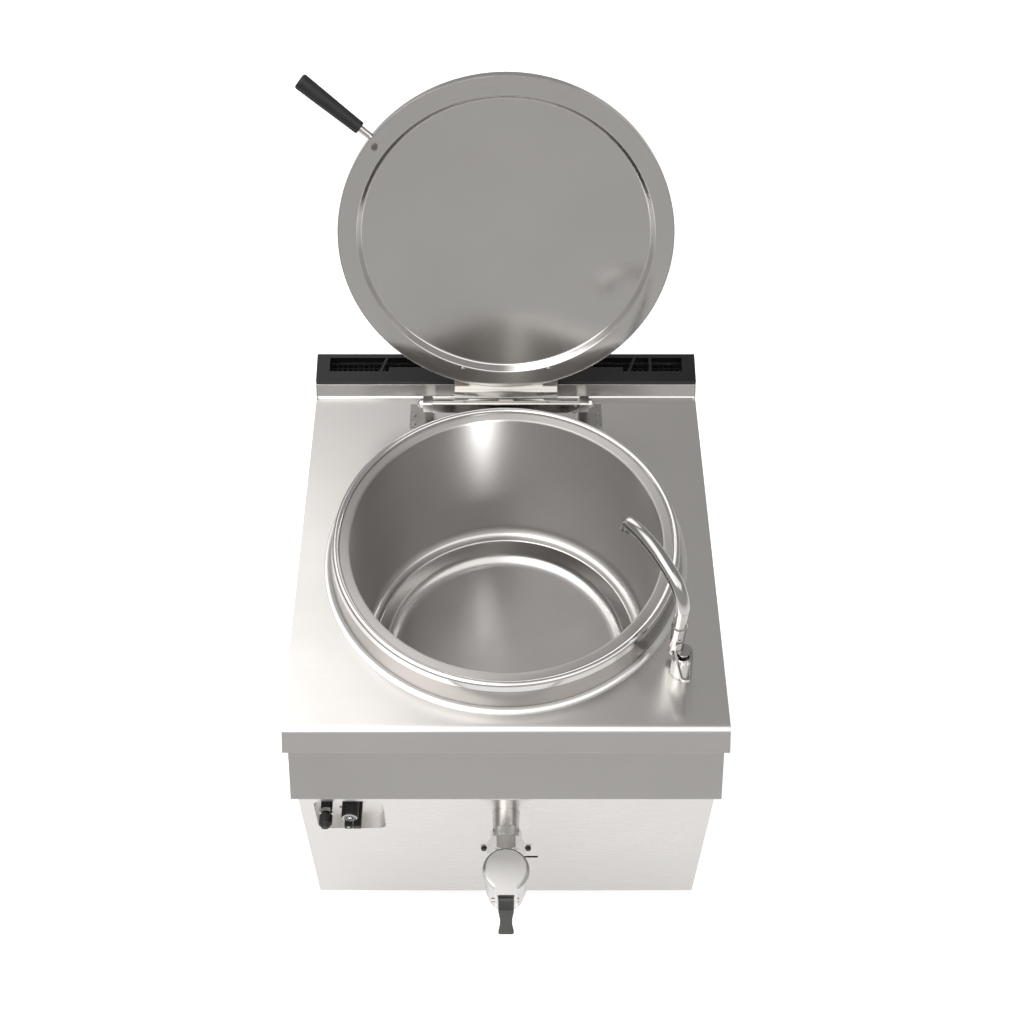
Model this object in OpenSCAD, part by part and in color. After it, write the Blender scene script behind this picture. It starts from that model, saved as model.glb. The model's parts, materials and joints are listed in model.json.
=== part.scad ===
// Gas heated boiling pan: a round pan in a free-standing cabinet, with a
// spring-balanced hinged lid, a swivel water tap and a plug drain valve.
// The pan's axis is the Z axis, the floor is z = 0 and the front is -Y.

/* [Cabinet] */
// Overall width of the cabinet
body_w = 800; // [780:5:900]
// Height of the worktop above the floor
work_h = 850; // [820:5:950]
// Height of the cabinet's lower edge above the floor
leg_h = 151; // [130:1:200]
// Distance from the pan's axis to the face of the front panel
front_y = 378; // [374:1:420]
// Distance from the pan's axis to the face of the back panel
back_y = 499; // [490:1:560]
// Thickness of the side, front and back panels
panel_t = 1.5; // [1:0.1:2.5]
// Thickness of the base frame's folded angle
frame_t = 3; // [2:0.5:4]
// Width of the base frame's legs
frame_w = 30; // [25:1:40]

/* [Worktop] */
// Thickness of the worktop sheet
top_t = 2; // [1.5:0.1:3]
// Distance from the pan's axis to the front of the nose
nose_y = 406; // [400:1:420]
// Depth of the nose below the worktop
nose_drop = 36; // [30:1:45]
// Slope of the nose face below the horizontal
nose_slope = 50.4; // [40:0.2:65]
// Radius of the bend between the worktop and the nose
nose_bend_r = 19.5; // [10:0.5:25]
// Depth of the return under the nose
nose_return = 26; // [15:1:30]
// Distance from the pan's axis to the foot of the rear upstand
upstand_y = 418; // [412:1:440]
// Height of the rear upstand
upstand_h = 26; // [20:1:40]
// Lean of the upstand away from the vertical
upstand_lean = 25; // [10:1:35]
// Radius of the bend at the foot of the upstand
upstand_bend_r = 7; // [4:0.5:10]
// Depth of the worktop's side flanges
side_drop = 40; // [30:1:45]

/* [Control panel] */
// Forward reach of the control panel's lower edge
panel_reach = 45; // [30:1:50]
// Drop of the control panel's lower edge below the worktop
panel_drop = 182; // [150:1:200]
// Lean of the control panel away from the vertical
panel_lean = 31.7; // [20:0.1:40]

/* [Pan] */
// Inner radius of the pan
pan_r = 298; // [270:1:300]
// Thickness of the pan's wall
pan_t = 2; // [1.5:0.1:3]
// Depth of the pan's floor below the worktop
pan_floor = 352; // [330:1:380]
// Radius of the pan's flat floor
floor_r = 235; // [200:1:245]
// Radius of the knuckle between the wall and the ledge
knuckle_r = 22; // [15:1:30]
// Height of the ledge above the pan's floor
ledge_up = 42; // [38:1:55]
// Height of the rim bead above the worktop
rim_h = 69; // [50:1:80]
// Outer radius of the rim bead
bead_r = 331; // [331:1:336]
// Radius of the bead's round top
bead_round = 7; // [6:0.5:8]
// Radius of the collar where it meets the worktop
collar_r = 350; // [348:1:356]
// Thickness of the collar sheet
collar_t = 2; // [1.5:0.1:2.5]

/* [Lid] */
// Outer radius of the lid
lid_r = 325; // [318:1:328]
// Gap between the closed lid and the rim bead
lid_gap = 1; // [0.5:0.1:2]
// Thickness of the lid's outer skin
lid_skin = 1.5; // [1:0.1:2]
// Thickness of the lid's inner liner
liner_t = 1.2; // [0.8:0.1:1.5]
// Depth of the recess inside the lid's edge
lid_recess = 11; // [8:0.5:14]
// Height of the lid's flat ring above its lower edge
lid_high = 30; // [26:0.5:36]
// Radius of the lid's rounded shoulder
lid_round = 10; // [6:0.5:14]
// Width of the lid's flat ring
lid_flat = 70; // [60:1:75]
// Rise of the dome above the lid's flat ring
dome_rise = 12; // [4:0.5:16]
// Radius of the pressed bead in the liner
liner_bead_r = 281; // [270:1:284]
// Opening angle of the lid
lid_open = 106.8; // [95:0.1:110]
// Bearing from the front, towards the left, of the handle on the closed lid
handle_turn = 52; // [30:1:80]
// Radius on the lid of the handle's foot
handle_foot_r = 310; // [306:0.5:312]
// Radius of the handle's end from the lid's axis
handle_end_r = 484; // [450:1:500]
// Rise of the handle from its foot to its end
handle_rise = 22; // [15:1:40]
// Diameter of the handle's rod
handle_rod_d = 14; // [10:0.5:16]
// Diameter of the grip at its end
grip_d = 32; // [24:0.5:34]
// Diameter of the grip at the lid's side
grip_neck_d = 25; // [20:0.5:28]
// Length of bare rod between the handle's foot and the grip
grip_gap = 36; // [25:1:50]

/* [Hinge] */
// Distance of the hinge axis behind the pan's axis
hinge_y = 353; // [348:1:356]
// Height of the hinge axis above the worktop
hinge_h = 52; // [49:1:56]
// Diameter of the hinge rod
hinge_rod_d = 12; // [10:0.5:14]
// Outer diameter of the knuckles
knuckle_d = 20; // [18:0.5:22]
// Half width of the lid bracket
bracket_x = 107; // [90:1:115]
// Thickness of the lid bracket
bracket_t = 4; // [3:0.5:4]
// Reach of the lid bracket over the lid
bracket_reach = 90; // [86:1:100]
// Jog of the bracket's upper part towards the lid
bracket_jog = 8; // [4:0.5:10]
// Half width between the bearing blocks
bearing_x = 151; // [140:1:155]
// Width of a bearing block
bearing_w = 19; // [15:1:24]
// Width of a bearing's base plate
base_plate_w = 49; // [44:1:60]
// Wire diameter of the balance springs
spring_wire = 3; // [2:0.25:3.25]
// Turns of each balance spring
spring_turns = 9; // [6:1:10]

/* [Water tap] */
// Distance of the tap's axis to the right of the pan's axis
tap_x = 318; // [305:1:330]
// Distance of the tap's axis in front of the pan's axis
tap_y = 259; // [250:1:285]
// Diameter of the tap's pillar
tap_d = 38; // [34:1:44]
// Height of the tap's pillar
tap_pillar_h = 50; // [44:1:70]
// Distance of the spout's axis behind the pillar's axis
spout_back = 31.5; // [31:0.5:38]
// Bearing of the tap's branch from straight behind, towards the left
branch_turn = 16; // [0:1:30]
// Diameter of the spout tube
spout_d = 25.5; // [20:0.5:27]
// Height at which the spout begins to bend
spout_rise = 155; // [130:1:180]
// Radius of the spout's first bend
spout_bend_r = 60; // [45:1:80]
// Radius of the spout's long arch
spout_arch_r = 189; // [150:1:240]
// Bearing of the spout from the right, over the pan
spout_turn = 119.5; // [112:0.5:130]
// Reach of the tap lever from its hub
lever_reach = 60; // [45:1:70]

/* [Drain valve] */
// Drop of the drain pipe's axis below the worktop
drain_drop = 328; // [300:1:330]
// Outer diameter of the drain pipe
drain_d = 52; // [40:0.5:52]
// Wall of the drain pipe
drain_wall = 2; // [1.5:0.5:3]
// Distance of the valve's axis in front of the front panel
valve_out = 137.5; // [135:0.5:160]
// Outer diameter of the valve's body
valve_d = 78; // [74:1:84]
// Outer diameter of the valve's outlet
outlet_d = 68; // [62:0.5:70]
// Width across flats of the union nut
union_af = 63; // [60:0.5:66]
// Diameter of the plug's cap
cap_d = 78; // [74:1:84]
// Width of the cap's tongue
tongue_w = 42; // [38:1:46]
// Distance of the handle's pin in front of the valve's axis
pin_out = 57; // [56:0.5:62]
// Diameter of the handle's pin
pin_d = 6; // [5:0.5:8]
// Width of the drain handle
drain_handle_w = 29; // [24:1:29]
// Reach of the drain handle in front of its pin
drain_handle_reach = 52; // [45:1:70]

/* [Gas controls] */
// Distance of the control opening's centre to the left of the pan's axis
control_x = 305; // [295:1:310]
// Drop of the control opening's centre below the worktop
control_drop = 338; // [330:1:345]
// Width of the control opening
control_w = 134; // [130:1:145]
// Height of the control opening
control_h = 116; // [110:1:125]
// Depth of the control recess
recess_d = 30; // [25:1:35]
// Diameter of the gas knob
knob_d = 33.5; // [28:0.5:36]
// Projection of the gas knob's face in front of the front panel
knob_out = 16; // [10:0.5:25]
// Diameter of the igniter button
igniter_d = 26; // [20:0.5:28]
// Projection of the igniter button in front of the front panel
igniter_out = 37; // [25:0.5:42]

/* [Heating] */
// Outer radius of the combustion casing
casing_r = 316; // [312:1:317]
// Thickness of the insulation around the casing
insulation_t = 18; // [12:1:19]
// Drop of the casing's lower edge below the worktop
casing_drop = 440; // [420:1:460]
// Number of burner tubes
burner_n = 5; // [3:1:7]
// Diameter of a burner tube
burner_d = 32; // [24:1:38]
// Distance between the burner tubes
burner_pitch = 90; // [50:1:90]
// Depth of the flue box
flue_d = 48; // [40:1:52]

/* [Hidden] */
$fn = 64;

// Clearances
run_fit = 0.05;
seat_gap = 0.3;
slide_gap = 0.4;

// Main levels and planes
half_w = body_w / 2;
base_h = leg_h - work_h;
front_in = -front_y + panel_t;
back_in = back_y - panel_t;

// Nose and upstand
nose_bend_drop = nose_bend_r * (1 - cos(nose_slope));
nose_flat_y = -nose_y + (nose_drop - nose_bend_drop) / tan(nose_slope)
    + nose_bend_r * sin(nose_slope);
upstand_rise = 90 - upstand_lean;
upstand_top_y = upstand_y + upstand_h * tan(upstand_lean);
upstand_shelf = 14;
cover_y0 = upstand_top_y + 4;
cover_t = 2;
cover_rise = 15;

// Control panel
panel_foot_y = -front_y - panel_reach;
panel_head_drop = nose_drop + top_t + 6;
panel_head_y = panel_foot_y + (panel_drop - panel_head_drop) * tan(panel_lean);

// Pan and rim
bead_c = [bead_r - bead_round, rim_h - bead_round];
rim_ledge_h = bead_c[1] - 2;
groove_r = bead_r - 2 * bead_round;
pan_ledge_h = ledge_up - pan_floor;
pan_bend = 4;
drain_bore_r = drain_d / 2 - drain_wall;

// Lid, in its closed place
lid_low = rim_h + lid_gap;
lid_top = lid_low + lid_high;
lid_shoulder = [lid_r - lid_round, lid_top - lid_round];
lid_dome_r = lid_shoulder[0] - lid_flat;
liner_flange_r = lid_r - lid_skin - 0.2;
liner_low = lid_low + 0.3;
bolt_x = 87;
bolt_y = 281;
bolt_d = 6;
foot_r = 9;
grip_round = 5;
handle_foot_h = lid_top + 1;
handle_pitch = atan(handle_rise / (handle_end_r - handle_foot_r));
handle_l = (handle_end_r - handle_foot_r) / cos(handle_pitch);
grip_l = handle_l - grip_gap;
grip_bore = grip_l / 2;

// Hinge
web_y = hinge_y + hinge_rod_d / 2;
web_low = hinge_h + hinge_rod_d / 2;
spring_r = hinge_rod_d / 2 + seat_gap + spring_wire / 2;
spring_x = bracket_x + 2 + spring_wire / 2;
spring_pitch = (bearing_x - 2 - spring_wire / 2 - spring_x) / spring_turns;
cover_front_y = hinge_y - 13;
cover_top_h = hinge_h + 13;
base_plate_t = 4;
base_plate_y0 = 333;
base_plate_l = 62;

// Tap
hub_h = tap_pillar_h + 10;
socket_h = 99;
socket_d = spout_d + 1.5;
shank_d = 24;
stem_d = 16;
spout_foot_h = socket_h + 13;

// Drain valve
valve_y = -front_y - valve_out;
valve_top = -286;
cap_t = 6;
cap_h = valve_top + seat_gap;
ring_y0 = -front_y - 40;
ring_l = 19;
union_l = 32;
rim_r = valve_d / 2 + 5;
pin_y = valve_y - pin_out;
pin_h = cap_h - 7;
tongue_end = pin_y + 5;
outlet_h = -400;

// Controls
control_z = -control_drop;
recess_wall = 1.2;
recess_back = -front_y + panel_t + recess_d;
valve_face = recess_back + 0.4;
knob_x = -control_x + 1.5;
knob_z = control_z + 20;
igniter_x = -control_x - 45;
button_w = 15;
button_h = 12;
button_places = [-4, 13];
button_z = knob_z - 25;
button_out = 24;
igniter_travel = 4;

// Heating
casing_t = 1.5;
casing_top = rim_ledge_h - collar_t - seat_gap;
burner_z = -casing_drop - 28;
burner_l = 420;
rail_y = 170;
manifold_y = valve_face + 34;
valve_boss = 42;
flue_y1 = back_in - 2;
flue_x = half_w - 24;
duct_x = 160;
flue_low = -130;
flue_top = upstand_h - 4;

// How far the open grip reaches to the back, and the shift that centres the whole
grip_lean = cos(handle_turn) * cos(handle_pitch) * -cos(lid_open) + sin(handle_pitch) * sin(lid_open);
grip_back = hinge_y - (hinge_y + handle_end_r * cos(handle_turn)) * cos(lid_open)
    + (handle_foot_h + handle_rise - hinge_h) * sin(lid_open)
    + (grip_d / 2 - grip_round) * sqrt(1 - grip_lean * grip_lean) + grip_round * (1 - grip_lean);
pan_y = (drain_handle_reach - pin_y - grip_back) / 2;

function unit(v) = v / norm(v);
function left_normal(a, b) = let (d = unit(b - a)) [-d[1], d[0]];

// Point i of a path, moved by t to its left side with a mitred corner
function mitre(pts, i, t) =
    let (a = max(i - 1, 0), b = min(i, len(pts) - 2),
        n1 = left_normal(pts[a], pts[a + 1]), n2 = left_normal(pts[b], pts[b + 1]))
    pts[i] + (n1 + n2) * t / (1 + n1 * n2);

function arc(c, r, a0, a1, n = 8) =
    [for (i = [0:n]) c + r * [cos(a0 + (a1 - a0) * i / n), sin(a0 + (a1 - a0) * i / n)]];

// A bent sheet of thickness t on the left side of a path
module sheet(pts, t) {
    polygon(concat(pts, [for (i = [len(pts) - 1:-1:0]) mitre(pts, i, t)]));
}

// Things measured from the pan's axis and the worktop's surface
module at_top() {
    translate([0, pan_y, work_h]) children();
}

// A profile drawn in [y, z], as wide as w along X
module across(w) {
    rotate([90, 0, 90]) linear_extrude(height = w, center = true) children();
}

module rod_x(x0, x1, d) {
    translate([x0, 0, 0]) rotate([0, 90, 0]) cylinder(h = x1 - x0, d = d);
}

module rod_y(y0, y1, d) {
    translate([0, y0, 0]) rotate([-90, 0, 0]) cylinder(h = y1 - y0, d = d);
}

module round_rect(w, h, r) {
    square([w - 2 * r, h], center = true);
    square([w, h - 2 * r], center = true);
    for (sx = [-1, 1], sy = [-1, 1])
        translate([sx * (w / 2 - r), sy * (h / 2 - r)]) circle(r = r);
}

// Anything drawn on the closed lid, swung to its open place
module open_lid() {
    translate([0, hinge_y, hinge_h]) rotate([-lid_open, 0, 0])
        translate([0, -hinge_y, -hinge_h]) children();
}

// Worktop

nose_path = concat(
    [[-nose_y + nose_return, -nose_drop], [-nose_y, -nose_drop]],
    arc([nose_flat_y, -nose_bend_r], nose_bend_r, 90 + nose_slope, 90));
upstand_c = [upstand_y - upstand_bend_r * tan(upstand_rise / 2), upstand_bend_r];
upstand_path = concat(
    arc(upstand_c, upstand_bend_r, -90, -90 + upstand_rise),
    [[upstand_top_y, upstand_h], [upstand_top_y + upstand_shelf, upstand_h]]);

module worktop_end() {
    points = concat(nose_path,
        [[upstand_y, 0], [upstand_y, -side_drop], [nose_flat_y, -side_drop], [nose_flat_y, -nose_drop]]);
    polygon(points);
    polygon([[upstand_y - upstand_bend_r, 0], [upstand_top_y, upstand_h], [upstand_top_y, 0]]);
}

module worktop() {
    color("silver") at_top() difference() {
        union() {
            across(body_w)
                sheet(concat(nose_path, upstand_path), -top_t);
            for (s = [-1, 1])
                translate([s * (half_w - top_t / 2), 0, 0]) across(top_t) worktop_end();
        }
        translate([0, 0, -2 * top_t]) cylinder(r = collar_r, h = 4 * top_t, $fn = 180);
        translate([tap_x, -tap_y, -2 * top_t]) cylinder(d = shank_d + 1, h = 4 * top_t);
    }
}

module collar_profile() {
    foot_round = 12;
    outer = concat(
        arc([collar_r, foot_round], foot_round, 270, 180),
        arc(bead_c, bead_round, 0, 180, 12));
    inner = concat(
        arc(bead_c, bead_round - collar_t, 180, 0, 12),
        arc([collar_r, foot_round], foot_round + collar_t, 180, 270));
    polygon(concat(outer,
        [[groove_r, rim_ledge_h], [pan_r + pan_bend + seat_gap, rim_ledge_h],
            [pan_r + pan_bend + seat_gap, rim_ledge_h - collar_t],
            [groove_r + collar_t, rim_ledge_h - collar_t]],
        inner));
}

module pan_collar() {
    color("silver") at_top() rotate_extrude($fn = 180) collar_profile();
}

// Inner face of the pan, from the flange to the middle of the floor
pan_path = concat(
    [[groove_r - seat_gap, rim_ledge_h + pan_t]],
    arc([pan_r + pan_bend, rim_ledge_h + pan_t - pan_bend], pan_bend, 90, 180, 6),
    arc([pan_r - knuckle_r, pan_ledge_h + knuckle_r], knuckle_r, 0, -90, 10),
    [[floor_r + 31, pan_ledge_h - 3], [floor_r + 27, pan_ledge_h - 11], [floor_r + 5, 2 - pan_floor],
        [floor_r, -pan_floor], [0, -pan_floor]]);

module pan_solid() {
    rotate_extrude($fn = 180)
        polygon(concat([for (i = [0:len(pan_path) - 1]) mitre(pan_path, i, pan_t)], [[0, rim_h]]));
}

module pan_shell() {
    color("gainsboro") at_top() difference() {
        rotate_extrude($fn = 180) sheet(pan_path, pan_t);
        translate([0, 0, -drain_drop]) rod_y(-pan_r - 20, -floor_r - 4, 2 * drain_bore_r);
    }
}

// Cabinet

module control_panel() {
    inner_w = body_w - 2 * panel_t - 2 * seat_gap;
    face = [[panel_head_y, -panel_head_drop], [panel_foot_y, -panel_drop], [front_in + 10, -panel_drop]];
    color("silver") at_top() {
        across(body_w) sheet(face, panel_t);
        translate([-inner_w / 2, panel_head_y, -panel_head_drop - panel_t]) cube([inner_w, 14, panel_t]);
        for (s = [-1, 1])
            translate([s * (half_w - panel_t / 2), 0, 0]) across(panel_t)
                polygon([[panel_head_y, -panel_head_drop], [panel_foot_y, -panel_drop],
                    [panel_head_y, -panel_drop]]);
    }
}

module front_panel() {
    slot_w = 50;
    slot_h = 8.5;
    top = -panel_drop - seat_gap;
    return_x = half_w - 2 * panel_t - 1;
    color("gainsboro") at_top() difference() {
        union() {
            translate([-half_w, -front_y, base_h]) cube([body_w, panel_t, top - base_h]);
            for (s = [-1, 1]) translate([s * return_x - panel_t / 2, front_in - 0.1, base_h + 40])
                cube([panel_t, 18, top - base_h - 60]);
        }
        translate([-control_x, -front_y - 1, control_z]) rotate([-90, 0, 0])
            linear_extrude(height = 4) round_rect(control_w, control_h, 15);
        translate([42, -front_y - 1, -530]) rotate([-90, 0, 0])
            linear_extrude(height = 4) round_rect(slot_w, slot_h, 4);
        translate([0, 0, -drain_drop]) rod_y(-front_y - 1, -front_y + 4, drain_d + 2);
    }
}

module side_panel() {
    top = -side_drop - seat_gap;
    rear_top = upstand_h - top_t - 1;
    head = panel_head_y + seat_gap;
    color("silver") at_top() {
        across(panel_t) polygon([[front_in, base_h], [front_in, -panel_drop - seat_gap],
            [head, -panel_drop - seat_gap], [head, top], [upstand_y + seat_gap, top],
            [upstand_y + seat_gap, -top_t - 1], [cover_y0 + 12, -top_t - 1], [cover_y0 + 12, rear_top],
            [back_in, rear_top], [back_in, base_h]]);
    }
}

module side_panel_left() {
    translate([-half_w + panel_t / 2, 0, 0]) side_panel();
}

module side_panel_right() {
    translate([half_w - panel_t / 2, 0, 0]) side_panel();
}

gas_in = [150 - half_w, base_h + 60];
water_in = [half_w - 150, base_h + 60];
gas_pipe_d = 21;
water_pipe_d = 21;
pipe_turn_y = back_y - 99;

// The end of a supply pipe at the back: a collar on the panel and a free stub
module pipe_end(d) {
    collar = 3;
    rod_y(pipe_turn_y, back_y + 1, d);
    rod_y(back_y + seat_gap, back_y + seat_gap + collar, d + 14);
    rod_y(back_y, back_y + seat_gap + collar + 25, d);
}

module back_panel() {
    color("silver") at_top() difference() {
        translate([-half_w, back_in, base_h]) cube([body_w, panel_t, upstand_h - top_t - 1 - base_h]);
        translate([gas_in[0], 0, gas_in[1]]) rod_y(back_in - 1, back_y + 1, gas_pipe_d + 6);
        translate([water_in[0], 0, water_in[1]]) rod_y(back_in - 1, back_y + 1, water_pipe_d + 6);
    }
}

leg_x = half_w - 80;
leg_front_y = -front_y + 103;
leg_rear_y = back_y - 79;
leg_d = 48;
foot_d = 60;

module base_frame() {
    inner_x = half_w - panel_t - seat_gap;
    y0 = front_in + seat_gap;
    y1 = back_in - seat_gap;
    corner = 45;
    tray_l = 170;
    color("darkgray") at_top() translate([0, 0, base_h]) difference() {
        translate([-inner_x, y0, 0]) cube([2 * inner_x, y1 - y0, frame_w]);
        translate([-inner_x + frame_t, y0 + frame_t, frame_t])
            cube([2 * (inner_x - frame_t), y1 - y0 - 2 * frame_t, frame_w]);
        translate([corner - leg_x, y0 + tray_l, -1])
            cube([2 * (leg_x - corner), y1 - y0 - tray_l - frame_w, frame_t + 2]);
        translate([-inner_x + frame_w, y0 + tray_l, -1])
            cube([2 * (inner_x - frame_w), leg_rear_y - corner - y0 - tray_l, frame_t + 2]);
    }
}

module leg_places() {
    for (sx = [-1, 1], y = [leg_front_y, leg_rear_y]) translate([sx * leg_x, pan_y + y, 0]) children();
}

module legs() {
    stem_l = leg_h - 45;
    color("silver") leg_places() difference() {
        union() {
            translate([0, 0, leg_h - 4]) cylinder(d = leg_d + 22, h = 4);
            translate([0, 0, leg_h - stem_l]) cylinder(d = leg_d, h = stem_l - 4);
        }
        translate([0, 0, leg_h - stem_l - 1]) cylinder(d = leg_d - 4, h = stem_l - 5);
    }
}

module foot(sx, y) {
    stem_h = leg_h - 30;
    color("silver") translate([sx * leg_x, pan_y + y, 0]) {
        cylinder(d1 = foot_d - 6, d2 = foot_d, h = 4);
        translate([0, 0, 4]) cylinder(d = foot_d, h = 8);
        translate([0, 0, 12]) cylinder(d1 = foot_d, d2 = leg_d - 12, h = 10);
        translate([0, 0, 22]) cylinder(d = leg_d - 4 - 2 * run_fit, h = stem_h - 22);
    }
}

module foot_front_left() { foot(-1, leg_front_y); }
module foot_front_right() { foot(1, leg_front_y); }
module foot_rear_left() { foot(-1, leg_rear_y); }
module foot_rear_right() { foot(1, leg_rear_y); }

// Flue

cover_slope = atan(cover_rise / (back_y - cover_y0));
window_x = half_w - 28;
window_y0 = cover_y0 + 24;
window_y1 = back_y - 9;

module flue_cover() {
    rib = 6;
    rib_lean = 14;
    plate_x = half_w - 153;
    depth = window_y1 - window_y0;
    base = upstand_h + seat_gap;
    front_h = 6;
    rear_h = front_h + cover_rise;
    cover_h = base + front_h;
    top = [[cover_y0, base], [cover_y0, base + front_h], [back_y, base + rear_h],
        [back_y, upstand_h - top_t - 1 + seat_gap]];
    color("dimgray") at_top() {
        difference() {
            union() {
                across(body_w) sheet(top, -cover_t);
                for (s = [-1, 1])
                    translate([s * (half_w - cover_t / 2), 0, 0]) across(cover_t)
                        polygon([[cover_y0, base], [cover_y0, base + front_h - 1],
                            [back_y, base + rear_h - 1], [back_y, base]]);
            }
            translate([-window_x, window_y0, base - 5])
                cube([2 * window_x, window_y1 - window_y0, rear_h + 20]);
        }
        intersection() {
            across(body_w) polygon([for (p = [[-1, -cover_t - 0.5], [depth + 1, -cover_t - 0.5],
                [depth + 1, -0.3], [-1, -0.3]])
                [window_y0 + p[0], cover_h + p[1] + (window_y0 + p[0] - cover_y0) * tan(cover_slope)]]);
            translate([0, window_y0 - 2, -50]) linear_extrude(height = 150) {
                for (x = [132 - half_w, half_w - 144])
                    polygon([[x, 0], [x + rib, 0],
                        [x + rib + rib_lean, depth + 4], [x + rib_lean, depth + 4]]);
                translate([half_w - 98, 0]) square([rib, depth + 4]);
                translate([-plate_x, 0]) square([2 * plate_x, 12]);
            }
        }
    }
}

module flue_mesh() {
    hole = 8;
    pitch = hole + 3;
    nx = floor(2 * window_x / pitch);
    depth = window_y1 - window_y0 + 6;
    ny = floor((depth - 4) / pitch);
    color("black") at_top() translate([0, (window_y0 + window_y1) / 2, flue_top + seat_gap])
        linear_extrude(height = 1) difference() {
            square([2 * window_x + 12, depth], center = true);
            for (i = [0:nx - 1], j = [0:ny - 1])
                translate([(i - (nx - 1) / 2) * pitch, (j - (ny - 1) / 2) * pitch])
                    square(hole, center = true);
        }
}

module flue_box() {
    wall = 1.2;
    y0 = flue_y1 - flue_d;
    duct_h = 80;
    color("darkgray") at_top() difference() {
        union() {
            translate([-flue_x, y0, flue_low]) cube([2 * flue_x, flue_d, flue_top - flue_low]);
            translate([-duct_x, 250, flue_low]) cube([2 * duct_x, y0 - 249, duct_h]);
        }
        translate([-flue_x + wall, y0 + wall, flue_low + wall])
            cube([2 * (flue_x - wall), flue_d - 2 * wall, flue_top - flue_low + 5]);
        translate([-duct_x + wall, 240, flue_low + wall])
            cube([2 * (duct_x - wall), y0 - 235, duct_h - 2 * wall]);
        translate([0, 0, flue_low - 20]) cylinder(r = casing_r + seat_gap, h = 150, $fn = 180);
    }
}

// Hinge

module hinge_bearing(side) {
    mid = side * (bearing_x + bearing_w / 2);
    plate_x = side * (bearing_x + base_plate_w / 2);
    color("gray") at_top() {
        difference() {
            translate([plate_x - base_plate_w / 2, base_plate_y0, 0])
                cube([base_plate_w, base_plate_l, base_plate_t]);
            for (y = [8, 32]) translate([side * (bearing_x + base_plate_w - 8), base_plate_y0 + y, -1])
                cylinder(d = 5.4, h = base_plate_t + 2);
        }
        difference() {
            translate([mid, 0, 0]) across(bearing_w)
                polygon([[hinge_y + 26, base_plate_t], [hinge_y + 38, base_plate_t], [hinge_y + 38, 24],
                    [hinge_y + 12, cover_top_h - 3], [hinge_y + 9, cover_top_h],
                    [cover_front_y + 3, cover_top_h], [cover_front_y, cover_top_h - 3],
                    [cover_front_y, hinge_h - 12], [hinge_y + 8, hinge_h - 14]]);
            translate([0, hinge_y, hinge_h])
            rod_x(mid - bearing_w, mid + bearing_w, hinge_rod_d + 2 * run_fit);
        }
    }
}

module hinge_bearing_left() { hinge_bearing(-1); }
module hinge_bearing_right() { hinge_bearing(1); }

rod_end = bearing_x + bearing_w + 6;

module hinge_rod() {
    color("silver") at_top() translate([0, hinge_y, hinge_h]) rod_x(-rod_end, rod_end, hinge_rod_d);
}

module hinge_nuts() {
    flats = 16;
    color("silver") at_top() for (s = [-1, 1])
        translate([s * (bearing_x + bearing_w + seat_gap), hinge_y, hinge_h]) rotate([0, s * 90, 0])
            difference() {
                union() {
                    cylinder(d = flats / cos(30), h = 6, $fn = 6);
                    translate([0, 0, 5]) cylinder(d = flats - 1, h = 2);
                    intersection() {
                        translate([0, 0, 5.2]) sphere(d = flats - 1.6);
                        translate([0, 0, 4]) cylinder(d = flats, h = 12);
                    }
                }
                translate([0, 0, -1])
                    cylinder(d = hinge_rod_d, h = rod_end - bearing_x - bearing_w - seat_gap + 1);
            }
}

module hinge_cover() {
    y = cover_front_y;
    lip = 8;
    color("silver") at_top() across(2 * (bearing_x - seat_gap)) sheet(
        concat([[y + lip, hinge_h - 14], [y, hinge_h - 14]],
            arc([y + 4, cover_top_h - 4], 4, 180, 90, 6), [[y + lip, cover_top_h]]), -1.5);
}

// One balance spring, as a swept round wire around the hinge rod
module spring_coil(turns, r, wire, pitch) {
    sides = 6;
    per_turn = 16;
    steps = turns * per_turn;
    rings = [for (i = [0:steps]) let (a = i * 360 / per_turn) [for (j = [0:sides - 1])
        let (b = j * 360 / sides, q = r + wire / 2 * cos(b))
        [pitch * i / per_turn + wire / 2 * sin(b), q * cos(a), q * sin(a)]]];
    points = [for (ring = rings) each ring];
    sides_faces = [for (i = [0:steps - 1], j = [0:sides - 1])
        let (k = (j + 1) % sides, a = i * sides, b = (i + 1) * sides)
        [a + j, a + k, b + k, b + j]];
    polyhedron(points, concat(sides_faces, [[for (j = [sides - 1:-1:0]) j]],
        [[for (j = [0:sides - 1]) steps * sides + j]]), convexity = 10);
}

module hinge_springs() {
    color("gray") at_top() for (s = [-1, 1])
        translate([s * spring_x, hinge_y, hinge_h]) mirror([s < 0 ? 1 : 0, 0, 0])
            spring_coil(spring_turns, spring_r, spring_wire, spring_pitch);
}

module hinge_screws() {
    color("silver") at_top() for (s = [-1, 1], y = [8, 32])
        translate([s * (bearing_x + base_plate_w - 8), base_plate_y0 + y, 0]) {
            translate([0, 0, base_plate_t + 0.05]) cylinder(d = 9, h = 2.4);
            translate([0, 0, 0.1]) cylinder(d = 5, h = base_plate_t);
        }
}

// Lid, drawn closed and swung open

// Lower face of the liner: a flat ring, a round bead and the raised disc
bead_low = 4;
bead_curve = 5;
disc_curve = 16;
flank = 40;
flank_y = bead_low - bead_curve * (1 - cos(flank));
flank_r = liner_bead_r - bead_curve * sin(flank);
disc_r = flank_r - (lid_recess + flank_y - disc_curve * (1 - cos(flank))) / tan(flank)
    - disc_curve * sin(flank);
liner_path = concat(
    [[liner_flange_r, liner_low], [2 * liner_bead_r - flank_r + flank_y / tan(flank), liner_low]],
    arc([liner_bead_r, liner_low - bead_low + bead_curve], bead_curve, flank - 90, -90 - flank, 10),
    arc([disc_r, liner_low + lid_recess - disc_curve], disc_curve, 90 - flank, 90, 10),
    [[0, liner_low + lid_recess]]);

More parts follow.
